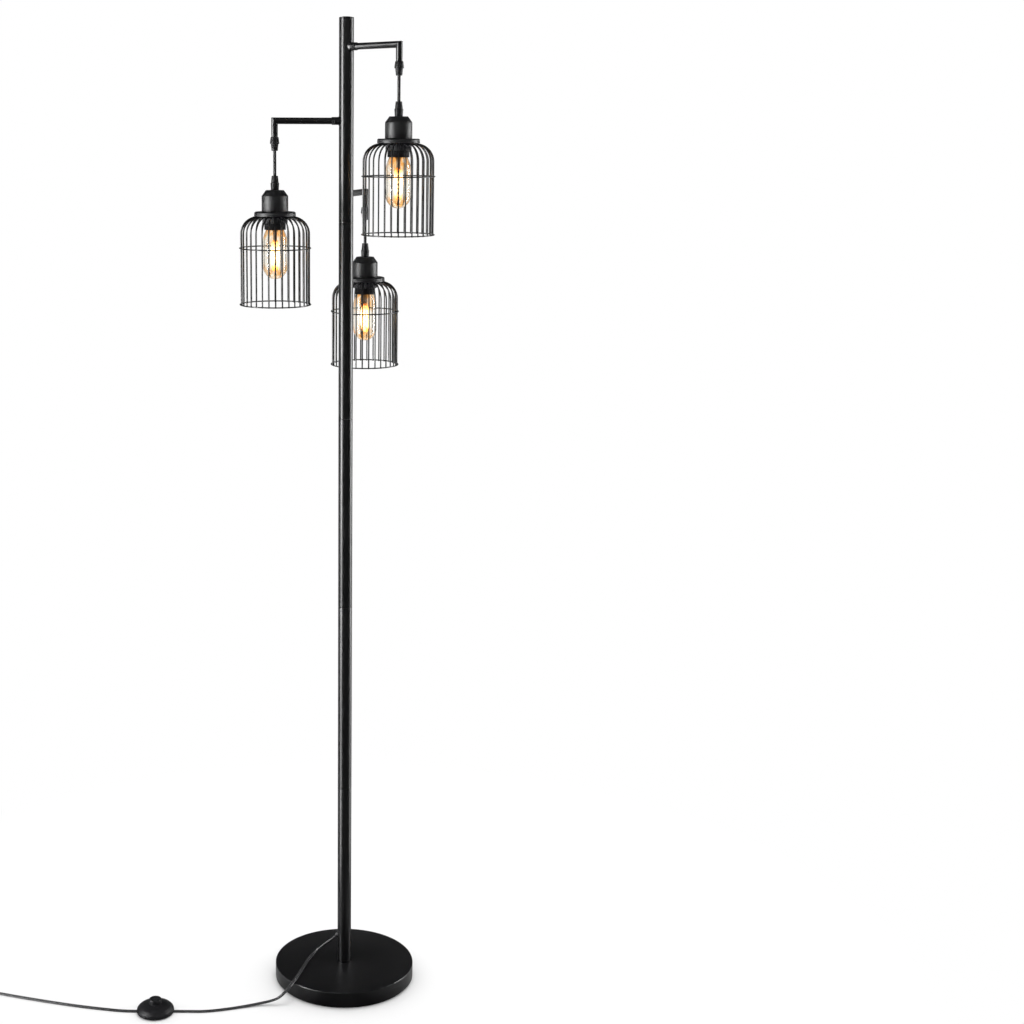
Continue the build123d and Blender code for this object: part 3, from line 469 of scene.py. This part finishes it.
# base: a dish of sheet metal, open below
inside = base["radius"] - base["sheet"]
under = base["top"] - base["sheet"]
baseCover = pieceOf("baseCover", [turned(softened(
    [(inside, base["foot"]), (base["radius"], base["foot"]), (base["radius"], base["top"]),
     (base["hole"], base["top"]), (base["hole"], under), (inside, under)],
    (0.3, 0.4, base["edge"], 0.2, 0, 0.5)), 256)], finishes["black_steel"], "stand", ("base_cover",), "black_steel")

# pole
pole = {"radius": 12.5, "bore": 11.3, "foot": base["top"], "section": 340.0, "count": 5, "seam": 0.3,
        "edge": 0.4}
poleTop = pole["foot"] + pole["section"] * pole["count"]
for number in range(pole["count"]):
    low = pole["foot"] + number * pole["section"]
    high = low + pole["section"] - pole["seam"]
    pieceOf(f"poleSection{number + 1}", [turned(softened(
        [(pole["bore"], low), (pole["radius"], low), (pole["radius"], high), (pole["bore"], high)],
        (0, pole["edge"], pole["edge"], 0)), 96)], finishes["black_steel"], "stand",
        (f"pole_section_{number + 1}",), "black_steel")
pieceOf("poleCap", [turned(softened(
    [(0, poleTop - 8), (11.1, poleTop - 8), (11.1, poleTop + 0.1), (12.44, poleTop + 0.1), (12.44, poleTop + 1.1),
     (6.0, poleTop + 2.4), (0, poleTop + 2.5)],
    (0, 0.3, 0, 0.2, 0.7, 12.0, 0), loop=False), 96)], finishes["black_steel"], "stand", ("pole_cap",),
    "black_steel", loop=False)

# the bush: a rim on the pole's wall and a short tapered nose, along the way the cord leaves
bushSide = np.cross([0, 0, 1], out)
bushSide /= np.linalg.norm(bushSide)
bushTurn = Matrix(np.column_stack([bushSide, np.cross(out, bushSide), out]).tolist()).to_4x4()
bushFoot = exitPoint - out * 3.6
pieceOf("cordBush", [turned(softened(
    [(3.1, -5.0), (5.9, -5.0), (5.9, 1.4), (4.5, 1.4), (4.1, 3.55), (3.1, 3.55)], (0, 0, 0.7, 0.4, 0.6, 0.3)), 64)],
    finishes["black_plastic"], "stand", ("cord_bush",), "black_plastic", Matrix.Translation(bushFoot * mm) @ bushTurn)
print("base and pole made")

# arms and pendants; X points away from the pole and Z up, from the arm's axis
arm = {"count": 3, "azimuth": -46.0, "turn": -120.0, "drop": 47.0, "spacing": 122.5, "reach": 124.0,
       "foot": -26.5, "radius": 5.5, "ferrule": 6.6, "root": 22.8, "sides": 64}
flex = {"radius": 2.7, "low": -94.2, "high": -46.7}
plateUnder = -158.7

# collar: rings of radius r about X; the first two lie on the pole, x = sqrt(pole^2 - (r sin a)^2)
collarRows = np.array([(4.5, 0, 1), (7.5, 0, 1), (7.6, 0.35, 1), (6.65, 1.5, 0), (6.6, 1.9, 0), (6.6, 9.7, 0),
                       (6.3, 10.0, 0), (4.5, 10.0, 0)])
angle = ringAngles(arm["sides"])
saddle = np.sqrt(pole["radius"] ** 2 - (collarRows[:, 0, None] * np.sin(angle)) ** 2) + 0.03
collarGrid = np.stack([
    np.where(collarRows[:, 2, None] > 0, saddle, pole["radius"]) + collarRows[:, 1, None],
    collarRows[:, 0, None] * np.sin(angle), collarRows[:, 0, None] * np.cos(angle)], -1)

# arm: tube rows along X, a mitre at the elbow, then down; at the mitre the ring leans half way, x = r cos a outwards
reach, root, ferrule, armRadius, armFoot = (arm[key] for key in ("reach", "root", "ferrule", "radius", "foot"))
armRows = np.array([  # x, z, up x, up z, radius
    (root, 0, 0, 1, 0), (root, 0, 0, 1, ferrule - 0.25), (root + 0.3, 0, 0, 1, ferrule),
    (root + 1.5, 0, 0, 1, ferrule), (root + 1.9, 0, 0, 1, ferrule - 0.25), (root + 3.3, 0, 0, 1, armRadius + 0.1),
    (root + 3.7, 0, 0, 1, armRadius), (reach, 0, 1, 1, armRadius), (reach, armFoot + 0.1, 1, 0, armRadius),
    (reach, armFoot, 1, 0, 0)])
armGrid = tube(np.column_stack([armRows[:, 0], 0 * armRows[:, 0], armRows[:, 1]]),
               np.column_stack([armRows[:, 2], 0 * armRows[:, 0], armRows[:, 3]]),
               np.tile([0.0, 1.0, 0.0], (len(armRows), 1)), armRows[:, 4], arm["sides"])

# outlines of the turned pieces under the arm, as (radius, height) from the arm's axis
gripOutline = softened(
    [(3.9, -49.7), (5.25, -49.7), (6.4, -38.3), (6.9, -38.1), (7.85, -38.2), (7.85, -36.5), (6.75, -27.6),
     (5.5, -26.55), (3.25, -26.55), (3.25, -46.7)],
    (0.3, 0.45, 0.2, 0.1, 0.3, 0.3, 0.6, 0.2, 0, 0))
capGripOutline = softened(
    [(4.9, -115.15), (6.65, -115.15), (7.2, -105.6), (7.45, -105.5), (7.45, -105.0), (7.2, -104.8), (7.2, -104.0),
     (7.45, -103.8), (7.45, -103.3), (6.5, -103.1), (5.3, -91.2), (3.9, -91.2), (3.25, -94.2), (3.25, -109.0),
     (4.9, -109.0)],
    (0.1, 0.2, 0.1, 0.12, 0.12, 0.1, 0.1, 0.12, 0.12, 0.2, 0.45, 0.3, 0, 0, 0))
cupOutline = softened(
    [(4.9, -115.2), (15.4, -115.2), (22.5, -125.0), (22.5, -151.1), (21.3, -151.1), (21.3, -125.0), (4.9, -125.0)],
    (0.1, 0.7, 0.45, 0.8, 0.2, 0.3, 0))
tailTop = -97.2
foot, head = np.linspace(0, np.pi / 2, 8), np.linspace(np.pi / 2, np.pi, 8)
flexOutline = np.concatenate([
    np.column_stack([flex["radius"] * np.sin(foot), flex["low"] - flex["radius"] * np.cos(foot)]),
    np.column_stack([flex["radius"] * np.sin(head), flex["high"] - flex["radius"] * np.cos(head)])])

# lampholder: under the plate its skirt is ridged, r = radius + ridge cos(2 pi (depth - top) / pitch)
skirt = {"radius": 18.2, "ridge": 0.42, "pitch": 2.08, "top": 11.6, "foot": 22.0, "points": 61}
skirtDepth = np.linspace(skirt["foot"], skirt["top"], skirt["points"])
skirtLine = np.column_stack([
    skirt["radius"] + skirt["ridge"] * np.cos(2 * np.pi * (skirtDepth - skirt["top"]) / skirt["pitch"]),
    plateUnder - skirtDepth])
holderOutline = np.concatenate([
    softened([(0, -147.1), (13.4, -147.1), (13.4, -175.3), (16.2, -175.3), (16.2, -181.3), (18.0, -181.3),
              (18.3, -180.9)], (0, 0.3, 0.2, 0.2, 0.4, 0.3, 0), loop=False),
    skirtLine,
    softened([(18.5, -170.0), (18.5, -151.2), (20.2, -151.1), (20.2, -149.2), (18.5, -149.2), (18.5, -125.1),
              (4.7, -125.1), (4.7, -109.2), (2.7, -109.2), (2.7, tailTop), (0, tailTop)],
             (0, 0, 0.3, 0.3, 0, 0.3, 0.2, 0.2, 0.2, 0.8, 0), loop=False)])
ringOutline = softened(
    [(18.65, -170.3), (20.9, -170.3), (21.5, -169.2), (21.6, -159.4), (21.2, -158.75),
     (18.65, -158.75)],
    (0.1, 0.5, 0.6, 0.4, 0.2, 0.1))
plateOutline = softened([(18.65, plateUnder), (35.5, plateUnder), (34.9, -151.2), (18.65, -151.2)],
                        (0.1, 0.9, 2.2, 0.1), 8)

# cage wires: straight out under the plate, a quarter turn of the arc's radius, straight down; both ends narrow;
# the wire's axis lies the solid wire's radius under the plate
cage = {"wires": 32, "wireRadius": 1.25, "solidRadius": 1.1, "start": 24.2, "tip": 0.35, "tipShare": 0.7,
        "arc": 29.0, "radius": 58.1, "middle": -80.0, "depth": 151.0, "sides": 10, "ring": 1.07, "sink": 0.05,
        "ringDepths": (53.8, 149.5), "ringSides": (12, 128)}
quarter = np.linspace(0, np.pi / 2, 13)[1:-1]
bend = cage["radius"] - cage["arc"]
wireLine = np.concatenate([
    [(cage["start"], 0.0), (cage["start"] + cage["tip"], 0.0), (bend, 0.0)],
    np.column_stack([bend + cage["arc"] * np.sin(quarter), cage["arc"] * (np.cos(quarter) - 1)]),
    [(cage["radius"], -cage["arc"]), (cage["radius"], cage["middle"]),
     (cage["radius"], cage["solidRadius"] + cage["tip"] - cage["depth"]),
     (cage["radius"], cage["solidRadius"] - cage["depth"])]])
wireRadii = np.full(len(wireLine), cage["wireRadius"])
wireRadii[[0, -1]] *= cage["tipShare"]
wireHeading = np.gradient(wireLine, axis=0)
wireHeading /= np.linalg.norm(wireHeading, axis=1, keepdims=True)
wireCentres = np.column_stack([wireLine[:, 0], 0 * wireLine[:, 0],
                               wireLine[:, 1] - cage["solidRadius"] + plateUnder])
wireUps = np.column_stack([-wireHeading[:, 1], 0 * wireLine[:, 0], wireHeading[:, 0]])
wireAcross = np.tile([0.0, 1.0, 0.0], (len(wireLine), 1))
wireGrid = tube(wireCentres, wireUps, wireAcross, wireRadii, cage["sides"])
wireGrid = np.concatenate([wireCentres[:1, None, :] + 0 * wireGrid[:1], wireGrid,
                           wireCentres[-1:, None, :] + 0 * wireGrid[-1:]])


# a grid turned about Z: x' = x cos t - y sin t, y' = x sin t + y cos t
def about(grid, turn):
    c, s = np.cos(turn), np.sin(turn)
    return grid @ np.array([(c, s, 0), (-s, c, 0), (0, 0, 1)])


wireGrids = [about(wireGrid, 2 * np.pi * k / cage["wires"]) for k in range(cage["wires"])]
ringAngle = ringAngles(cage["ringSides"][0])
ringRadius = cage["radius"] + cage["solidRadius"] + cage["ring"] - cage["sink"]
ringGrids = [turned(np.column_stack([ringRadius + cage["ring"] * np.cos(ringAngle),
                                     plateUnder - depth + cage["ring"] * np.sin(ringAngle)]), cage["ringSides"][1])
             for depth in cage["ringDepths"]]

# bulb: r = neck + (radius - neck) sin(part of the swell)^ease, then straight, then a half ball; all depths are
# from the plate's underside
bulb = {"radius": 21.0, "neck": 13.0, "neckDepth": 17.0, "shoulder": 43.0, "straight": 64.0, "belly": 85.4,
        "wall": 0.8, "ease": 1.15, "stained": (-265.0, -175.0)}
swell = np.linspace(0, 1, 14)
rounding = np.linspace(0, np.pi / 2, 18)[1:]
bulbOuter = np.concatenate([
    np.column_stack([bulb["neck"] + (bulb["radius"] - bulb["neck"]) * np.sin(swell * np.pi / 2) ** bulb["ease"],
                     bulb["neckDepth"] + (bulb["shoulder"] - bulb["neckDepth"]) * swell]),
    [(bulb["radius"], bulb["straight"]), (bulb["radius"], bulb["belly"])],
    np.column_stack([bulb["radius"] * np.cos(rounding), bulb["belly"] + bulb["radius"] * np.sin(rounding)])])
bulbInner = bulbOuter * 1.0
bulbInner[:, 0] = np.maximum(bulbOuter[:, 0] - bulb["wall"], 0)
bulbInner[:, 1] = np.minimum(bulbOuter[:, 1], bulb["belly"] + (bulbOuter[:, 1] - bulb["belly"])
                             * (bulb["radius"] - bulb["wall"]) / bulb["radius"])
bulbOutline = np.concatenate([bulbOuter, bulbInner[::-1]])
bulbOutline[:, 1] = plateUnder - bulbOutline[:, 1]
bulbSeat = plateUnder - bulb["neckDepth"]
screw = {"radius": 12.75, "low": 2.0, "high": 21.0, "points": 60, "ridge": 0.42, "pitch": 3.63, "fade": 2,
         "least": 12}
shellOutline = np.concatenate([
    [(0, bulbSeat), (12.6, bulbSeat), (screw["radius"], bulbSeat + 1.0)],
    np.column_stack([np.full(screw["points"], screw["radius"]),
                     bulbSeat + np.linspace(screw["low"], screw["high"], screw["points"])]),
    [(12.6, bulbSeat + 23.0), (10.5, bulbSeat + 25.0), (5.0, bulbSeat + 27.0), (4.6, bulbSeat + 28.4),
     (0, bulbSeat + 28.6)]])


# the screw thread: ridge cos(2 pi up / pitch - turn), faded over a short way at both ends
def thread(radius, height, turn):
    up = height - bulbSeat
    fade = (np.clip((up - screw["low"]) / screw["fade"], 0, 1)
            * np.clip((screw["high"] - up) / screw["fade"], 0, 1))
    return screw["ridge"] * np.cos(2 * np.pi * up / screw["pitch"] - turn) * fade * (radius > screw["least"])


# the ring's ribs, on its side only: -deep / 2 (1 - cos(count turn))
rib = {"count": 40, "deep": 0.7, "side": 21.3}


def ribs(radius, height, turn):
    return -rib["deep"] / 2 * (1 - np.cos(rib["count"] * turn)) * (radius > rib["side"])


stemOutline = np.array([(0, -26.0), (2.6, -26.0), (3.3, -25.2), (3.2, -16.0), (3.8, -9.0), (6.5, -4.0), (11.2, -0.2),
                        (0, -0.1)])
stemOutline[:, 1] += bulbSeat

# strands: fine wires that bow out between the two hubs, r = hub + (radius - hub) sin(pi part)^ease, and wander a
# little as they run
strand = {"count": 12, "radius": 7.0, "hub": 1.0, "size": 0.42, "top": 38.5, "foot": 93.5, "ease": 0.35,
          "wander": 0.55, "waves": 0.9, "lag": 1.7, "softer": 12, "first": 0.2, "points": 40, "sides": 6}
strandDepth = np.linspace(strand["top"], strand["foot"], strand["points"])
bow = np.sin(np.pi * (strandDepth - strand["top"]) / (strand["foot"] - strand["top"])) ** strand["ease"]
strandRadius = strand["hub"] + (strand["radius"] - strand["hub"]) * bow
strandSize = np.full(strand["points"], strand["size"])
strandSize[[0, -1]] = 0
alongX, alongY = np.tile([1.0, 0, 0], (strand["points"], 1)), np.tile([0, 1.0, 0], (strand["points"], 1))
strandGrids = []
for k in range(strand["count"]):
    turn = 2 * np.pi * k / strand["count"] + strand["first"]
    wander = strand["wander"] * np.sin(strandDepth * strand["waves"] + k * strand["lag"]) / strand["softer"]
    centres = np.column_stack([strandRadius * np.cos(turn + wander), strandRadius * np.sin(turn + wander),
                               plateUnder - strandDepth])
    strandGrids.append(tube(centres, alongX, alongY, strandSize, strand["sides"]))
wireStem = turned(np.array([(0, -94.0), (0.55, -94.0), (0.55, -42.0), (0, -42.0)]) + (0, plateUnder), 12)
hubs = [turned(softened([(0, h - 0.8), (1.6, h - 0.8), (1.6, h + 0.8), (0, h + 0.8)], (0, 0.3, 0.3, 0), 4, False)
               + (0, plateUnder), 24) for h in (-39.0, -93.0)]

# what is under each arm: name, grids, finish, body, node, slot and settings
pendant = "pendant_{}"
hanging = (
    ("armGrip", [turned(gripOutline, 64)], finishes["black_plastic"], "stand", "arm_grip", "black_plastic", {}),
    ("pendantCord", [turned(flexOutline, 32)], finishes["black_flex"], "cord_{}", "pendant_cord", "black_flex",
     {"loop": False}),
    ("capGrip", [turned(capGripOutline, 64)], finishes["black_plastic"], pendant, "cap_grip", "black_plastic", {}),
    ("socketCup", [turned(cupOutline, 96)], finishes["cup_steel"], pendant, "socket_cup", "black_steel",
     {"sharp": 28}),
    ("lampholder", [turned(holderOutline, 96)], finishes["black_plastic"], pendant, "lampholder", "black_plastic",
     {"loop": False}),
    ("shadeRing", [turned(ringOutline, 320, ribs)], finishes["black_plastic"], pendant, "shade_ring",
     "black_plastic", {}),
    ("cagePlate", [turned(plateOutline, 128)], finishes["cup_steel"], pendant, "cage_plate", "black_steel", {}),
    ("cage", wireGrids, finishes["black_steel"], pendant, "cage", "black_steel", {"loop": False}),
    ("cageRings", ringGrids, finishes["black_steel"], pendant, "cage", "black_steel", {}),
    ("bulbGlass", [turned(bulbOutline, 96)], finishes["amber_glass"], pendant, "bulb_glass", "amber_glass",
     {"sharp": 60, "levels": bulb["stained"]}),
    ("bulbShell", [turned(shellOutline, 72, thread)], finishes["bulb_brass"], pendant, "bulb_base", "bulb_brass",
     {"loop": False}),
    ("bulbStem", [turned(stemOutline, 48)], stemGlass, pendant, "bulb_filament", "filament", {"loop": False}),
    ("bulbStrands", strandGrids, strandGlow, pendant, "bulb_filament", "filament",
     {"loop": False, "levels": (plateUnder - strand["foot"], plateUnder - strand["top"])}),
    ("bulbWires", [wireStem, *hubs], finishes["zinc_steel"], pendant, "bulb_filament", "filament",
     {"loop": False}),
)
collars = []
for n in range(arm["count"]):
    tag = n + 1
    turn = np.radians(arm["azimuth"] + n * arm["turn"])
    place = (Matrix.Translation((0, 0, (poleTop - arm["drop"] - n * arm["spacing"]) * mm))
             @ Matrix.Rotation(turn, 4, "Z"))
    hang = place @ Matrix.Translation((arm["reach"] * mm, 0, 0))
    collars.append(collarGrid @ np.array(place.to_3x3()).T + np.array(place.translation) / mm)
    pieceOf(f"arm{tag}", [armGrid], finishes["black_steel"], "stand", (f"arm_{tag}",), "black_steel", place,
            sharp=30, loop=False)
    for name, grids, finish, body, node, slot, settings in hanging:
        pieceOf(f"{name}{tag}", grids, finish, body.format(tag), (f"{node}_{tag}",), slot, hang, **settings)
pieceOf("armCollars", collars, finishes["black_steel"], "stand", ("arm_collars",), "black_steel", sharp=30)
print("arms and pendants made")

# the CAD pieces that stay get the same finishes
for part in frame["record"]["subparts"]:
    node = frame["nodes"][part["node"]]
    node.data.materials.clear()
    node.data.materials.append(finishes.get(part["material_slot"], stemGlass))

# floor: to the camera it is shadowed near the lamp and pure white far off; to gloss it is a faint sheen beside
# and behind the base, and clear, so that the tall boxes mirror down the whole pole
studio = {"floor": 6.0, "floorShade": 0.8, "lift": 0.06, "fill": 0.95, "sheen": 0.1, "gloss": 0.1}
floorMesh = bpy.data.meshes.new("floor")
floorHalf = studio["floor"]
floorMesh.from_pydata([(-floorHalf, -floorHalf, 0), (floorHalf, -floorHalf, 0), (floorHalf, floorHalf, 0),
                       (-floorHalf, floorHalf, 0)], [], [(0, 1, 2, 3)])
floor = bpy.data.objects.new("floor", floorMesh)
bpy.context.scene.collection.objects.link(floor)
floorMaterial, nodes, links, shader, coords = newMaterial("paleFloor")
nodes.remove(shader)
output = nodes["Material Output"]
path = nodes.new("ShaderNodeLightPath")
diffuse = nodes.new("ShaderNodeBsdfDiffuse")
diffuse.inputs["Color"].default_value = (studio["floorShade"],) * 3 + (1,)
white = (1, 1, 1, 1)


# white light of one strength
def emissionOf(strength):
    emission = nodes.new("ShaderNodeEmission")
    emission.inputs["Color"].default_value = white
    emission.inputs["Strength"].default_value = strength
    return emission


# (1 - fac) first + fac second
def mixOf(fac, first, second):
    mixed = nodes.new("ShaderNodeMixShader")
    links.new(fac, mixed.inputs["Fac"])
    links.new(first, mixed.inputs[1])
    links.new(second, mixed.inputs[2])
    return mixed.outputs[0]


# first + second, or another operation on the two
def sumOf(first, second, operation="ADD"):
    return mathOf(nodes, links, operation, first, second)


# first and second shaders added up
def bothOf(first, second):
    both = nodes.new("ShaderNodeAddShader")
    links.new(first, both.inputs[0])
    links.new(second, both.inputs[1])
    return both.outputs[0]


split = nodes.new("ShaderNodeSeparateXYZ")
links.new(coords.outputs["Object"], split.inputs[0])
beside = nodes.new("ShaderNodeMath")
beside.operation = "ABSOLUTE"
links.new(split.outputs["X"], beside.inputs[0])
distance = nodes.new("ShaderNodeVectorMath")
distance.operation = "LENGTH"
links.new(coords.outputs["Object"], distance.inputs[0])
near = sumOf(rangeOf(nodes, links, beside.outputs[0], 0.0, 0.5, 0.06, 0.17),
             rangeOf(nodes, links, distance.outputs["Value"], 1.0, 0.03, 0.25, 0.5), "MULTIPLY")
sheen = emissionOf(studio["sheen"])
links.new(sumOf(near, rangeOf(nodes, links, split.outputs["Y"], 0.0, 0.25, 0.0, 1.5)), sheen.inputs["Strength"])
clearSheen = bothOf(sheen.outputs[0], nodes.new("ShaderNodeBsdfTransparent").outputs[0])
inGloss = mixOf(rangeOf(nodes, links, distance.outputs["Value"], 0.0, 1.0, 0.4, 0.55), sheen.outputs[0], clearSheen)
lifted = bothOf(diffuse.outputs[0], emissionOf(studio["lift"]).outputs[0])
seen = mixOf(rangeOf(nodes, links, distance.outputs["Value"], 0.0, 1.0, 0.5, 1.1), lifted,
             emissionOf(1.0).outputs[0])
lit = mixOf(path.outputs["Is Camera Ray"], diffuse.outputs[0], seen)
links.new(mixOf(path.outputs["Is Glossy Ray"], lit, inGloss), output.inputs["Surface"])
floor.data.materials.append(floorMaterial)

# world: white where it is seen, and in gloss palest low behind the lamp and high in front of it
world = bpy.data.worlds.new("studio")
world.use_nodes = True
bpy.context.scene.world = world
nodes, links = world.node_tree.nodes, world.node_tree.links
nodes.clear()
output = nodes.new("ShaderNodeOutputWorld")
coords = nodes.new("ShaderNodeTexCoord")
path = nodes.new("ShaderNodeLightPath")
split = nodes.new("ShaderNodeSeparateXYZ")
links.new(coords.outputs["Generated"], split.inputs[0])


# a white background of one strength
def backgroundOf(strength):
    background = nodes.new("ShaderNodeBackground")
    background.inputs["Color"].default_value = white
    background.inputs["Strength"].default_value = strength
    return background


gloss = backgroundOf(studio["gloss"])
lowBehind = sumOf(rangeOf(nodes, links, split.outputs["Y"], 0.02, 0.34, -0.1, 0.75),
                  rangeOf(nodes, links, split.outputs["Z"], 1.0, 0.07, 0.05, 0.3), "MULTIPLY")
highInFront = sumOf(rangeOf(nodes, links, split.outputs["Y"], 0.45, 0.0, -0.85, -0.45),
                    rangeOf(nodes, links, split.outputs["Z"], 0.0, 1.0, 0.12, 0.3), "MULTIPLY")
links.new(sumOf(lowBehind, highInFront), gloss.inputs["Strength"])
unseen = mixOf(path.outputs["Is Glossy Ray"], backgroundOf(studio["fill"]).outputs[0], gloss.outputs[0])
links.new(mixOf(sumOf(path.outputs["Is Camera Ray"], path.outputs["Is Transmission Ray"], "MAXIMUM"), unseen,
                backgroundOf(1.0).outputs[0]), output.inputs["Surface"])


# two tall boxes that only gloss sees, and a broad lamp above that lights without showing in gloss;
# a box is an upright sheet that faces the pole, and its light runs from dim to bright between two heights
mirror = {"foot": -1.6, "head": 2.3, "dimHeight": -0.2, "brightHeight": 0.5}
topLamp = {"size": (1.4, 1.2), "power": 30, "place": (0.2, 0.35, 2.9)}


def mirrorBox(name, place, width, bright, dim):
    heading = np.arctan2(place[1], place[0])
    side = np.array([-np.sin(heading), np.cos(heading)]) * width / 2
    corners = [(place[0] + k * side[0], place[1] + k * side[1], z)
               for k, z in ((-1, mirror["foot"]), (1, mirror["foot"]), (1, mirror["head"]), (-1, mirror["head"]))]
    mesh = bpy.data.meshes.new(name)
    mesh.from_pydata(corners, [], [(0, 1, 2, 3)])
    box = bpy.data.objects.new(name, mesh)
    bpy.context.scene.collection.objects.link(box)
    material, nodes, links, shader, coords = newMaterial(name)
    nodes.remove(shader)
    height = nodes.new("ShaderNodeSeparateXYZ")
    links.new(coords.outputs["Object"], height.inputs[0])
    glow = nodes.new("ShaderNodeEmission")
    glow.inputs["Color"].default_value = white
    links.new(rangeOf(nodes, links, height.outputs["Z"], dim, bright, mirror["dimHeight"], mirror["brightHeight"]),
              glow.inputs["Strength"])
    links.new(glow.outputs[0], nodes["Material Output"].inputs["Surface"])
    material.cycles.emission_sampling = "NONE"
    mesh.materials.append(material)
    box.visible_camera = False
    box.visible_diffuse = False
    box.visible_transmission = False
    box.visible_shadow = False


mirrorBox("leftBox", place=(-2.3, -0.94), width=0.7, bright=36.0, dim=13.0)
mirrorBox("rightBox", place=(2.44, 0.56), width=0.5, bright=26.0, dim=9.0)
light = bpy.data.lights.new("topBox", "AREA")
light.shape = "RECTANGLE"
light.size, light.size_y = topLamp["size"]
light.energy = topLamp["power"]
lightObject = bpy.data.objects.new("topBox", light)
lightObject.location = topLamp["place"]
lightObject.visible_glossy = False
bpy.context.scene.collection.objects.link(lightObject)
print("studio lit")
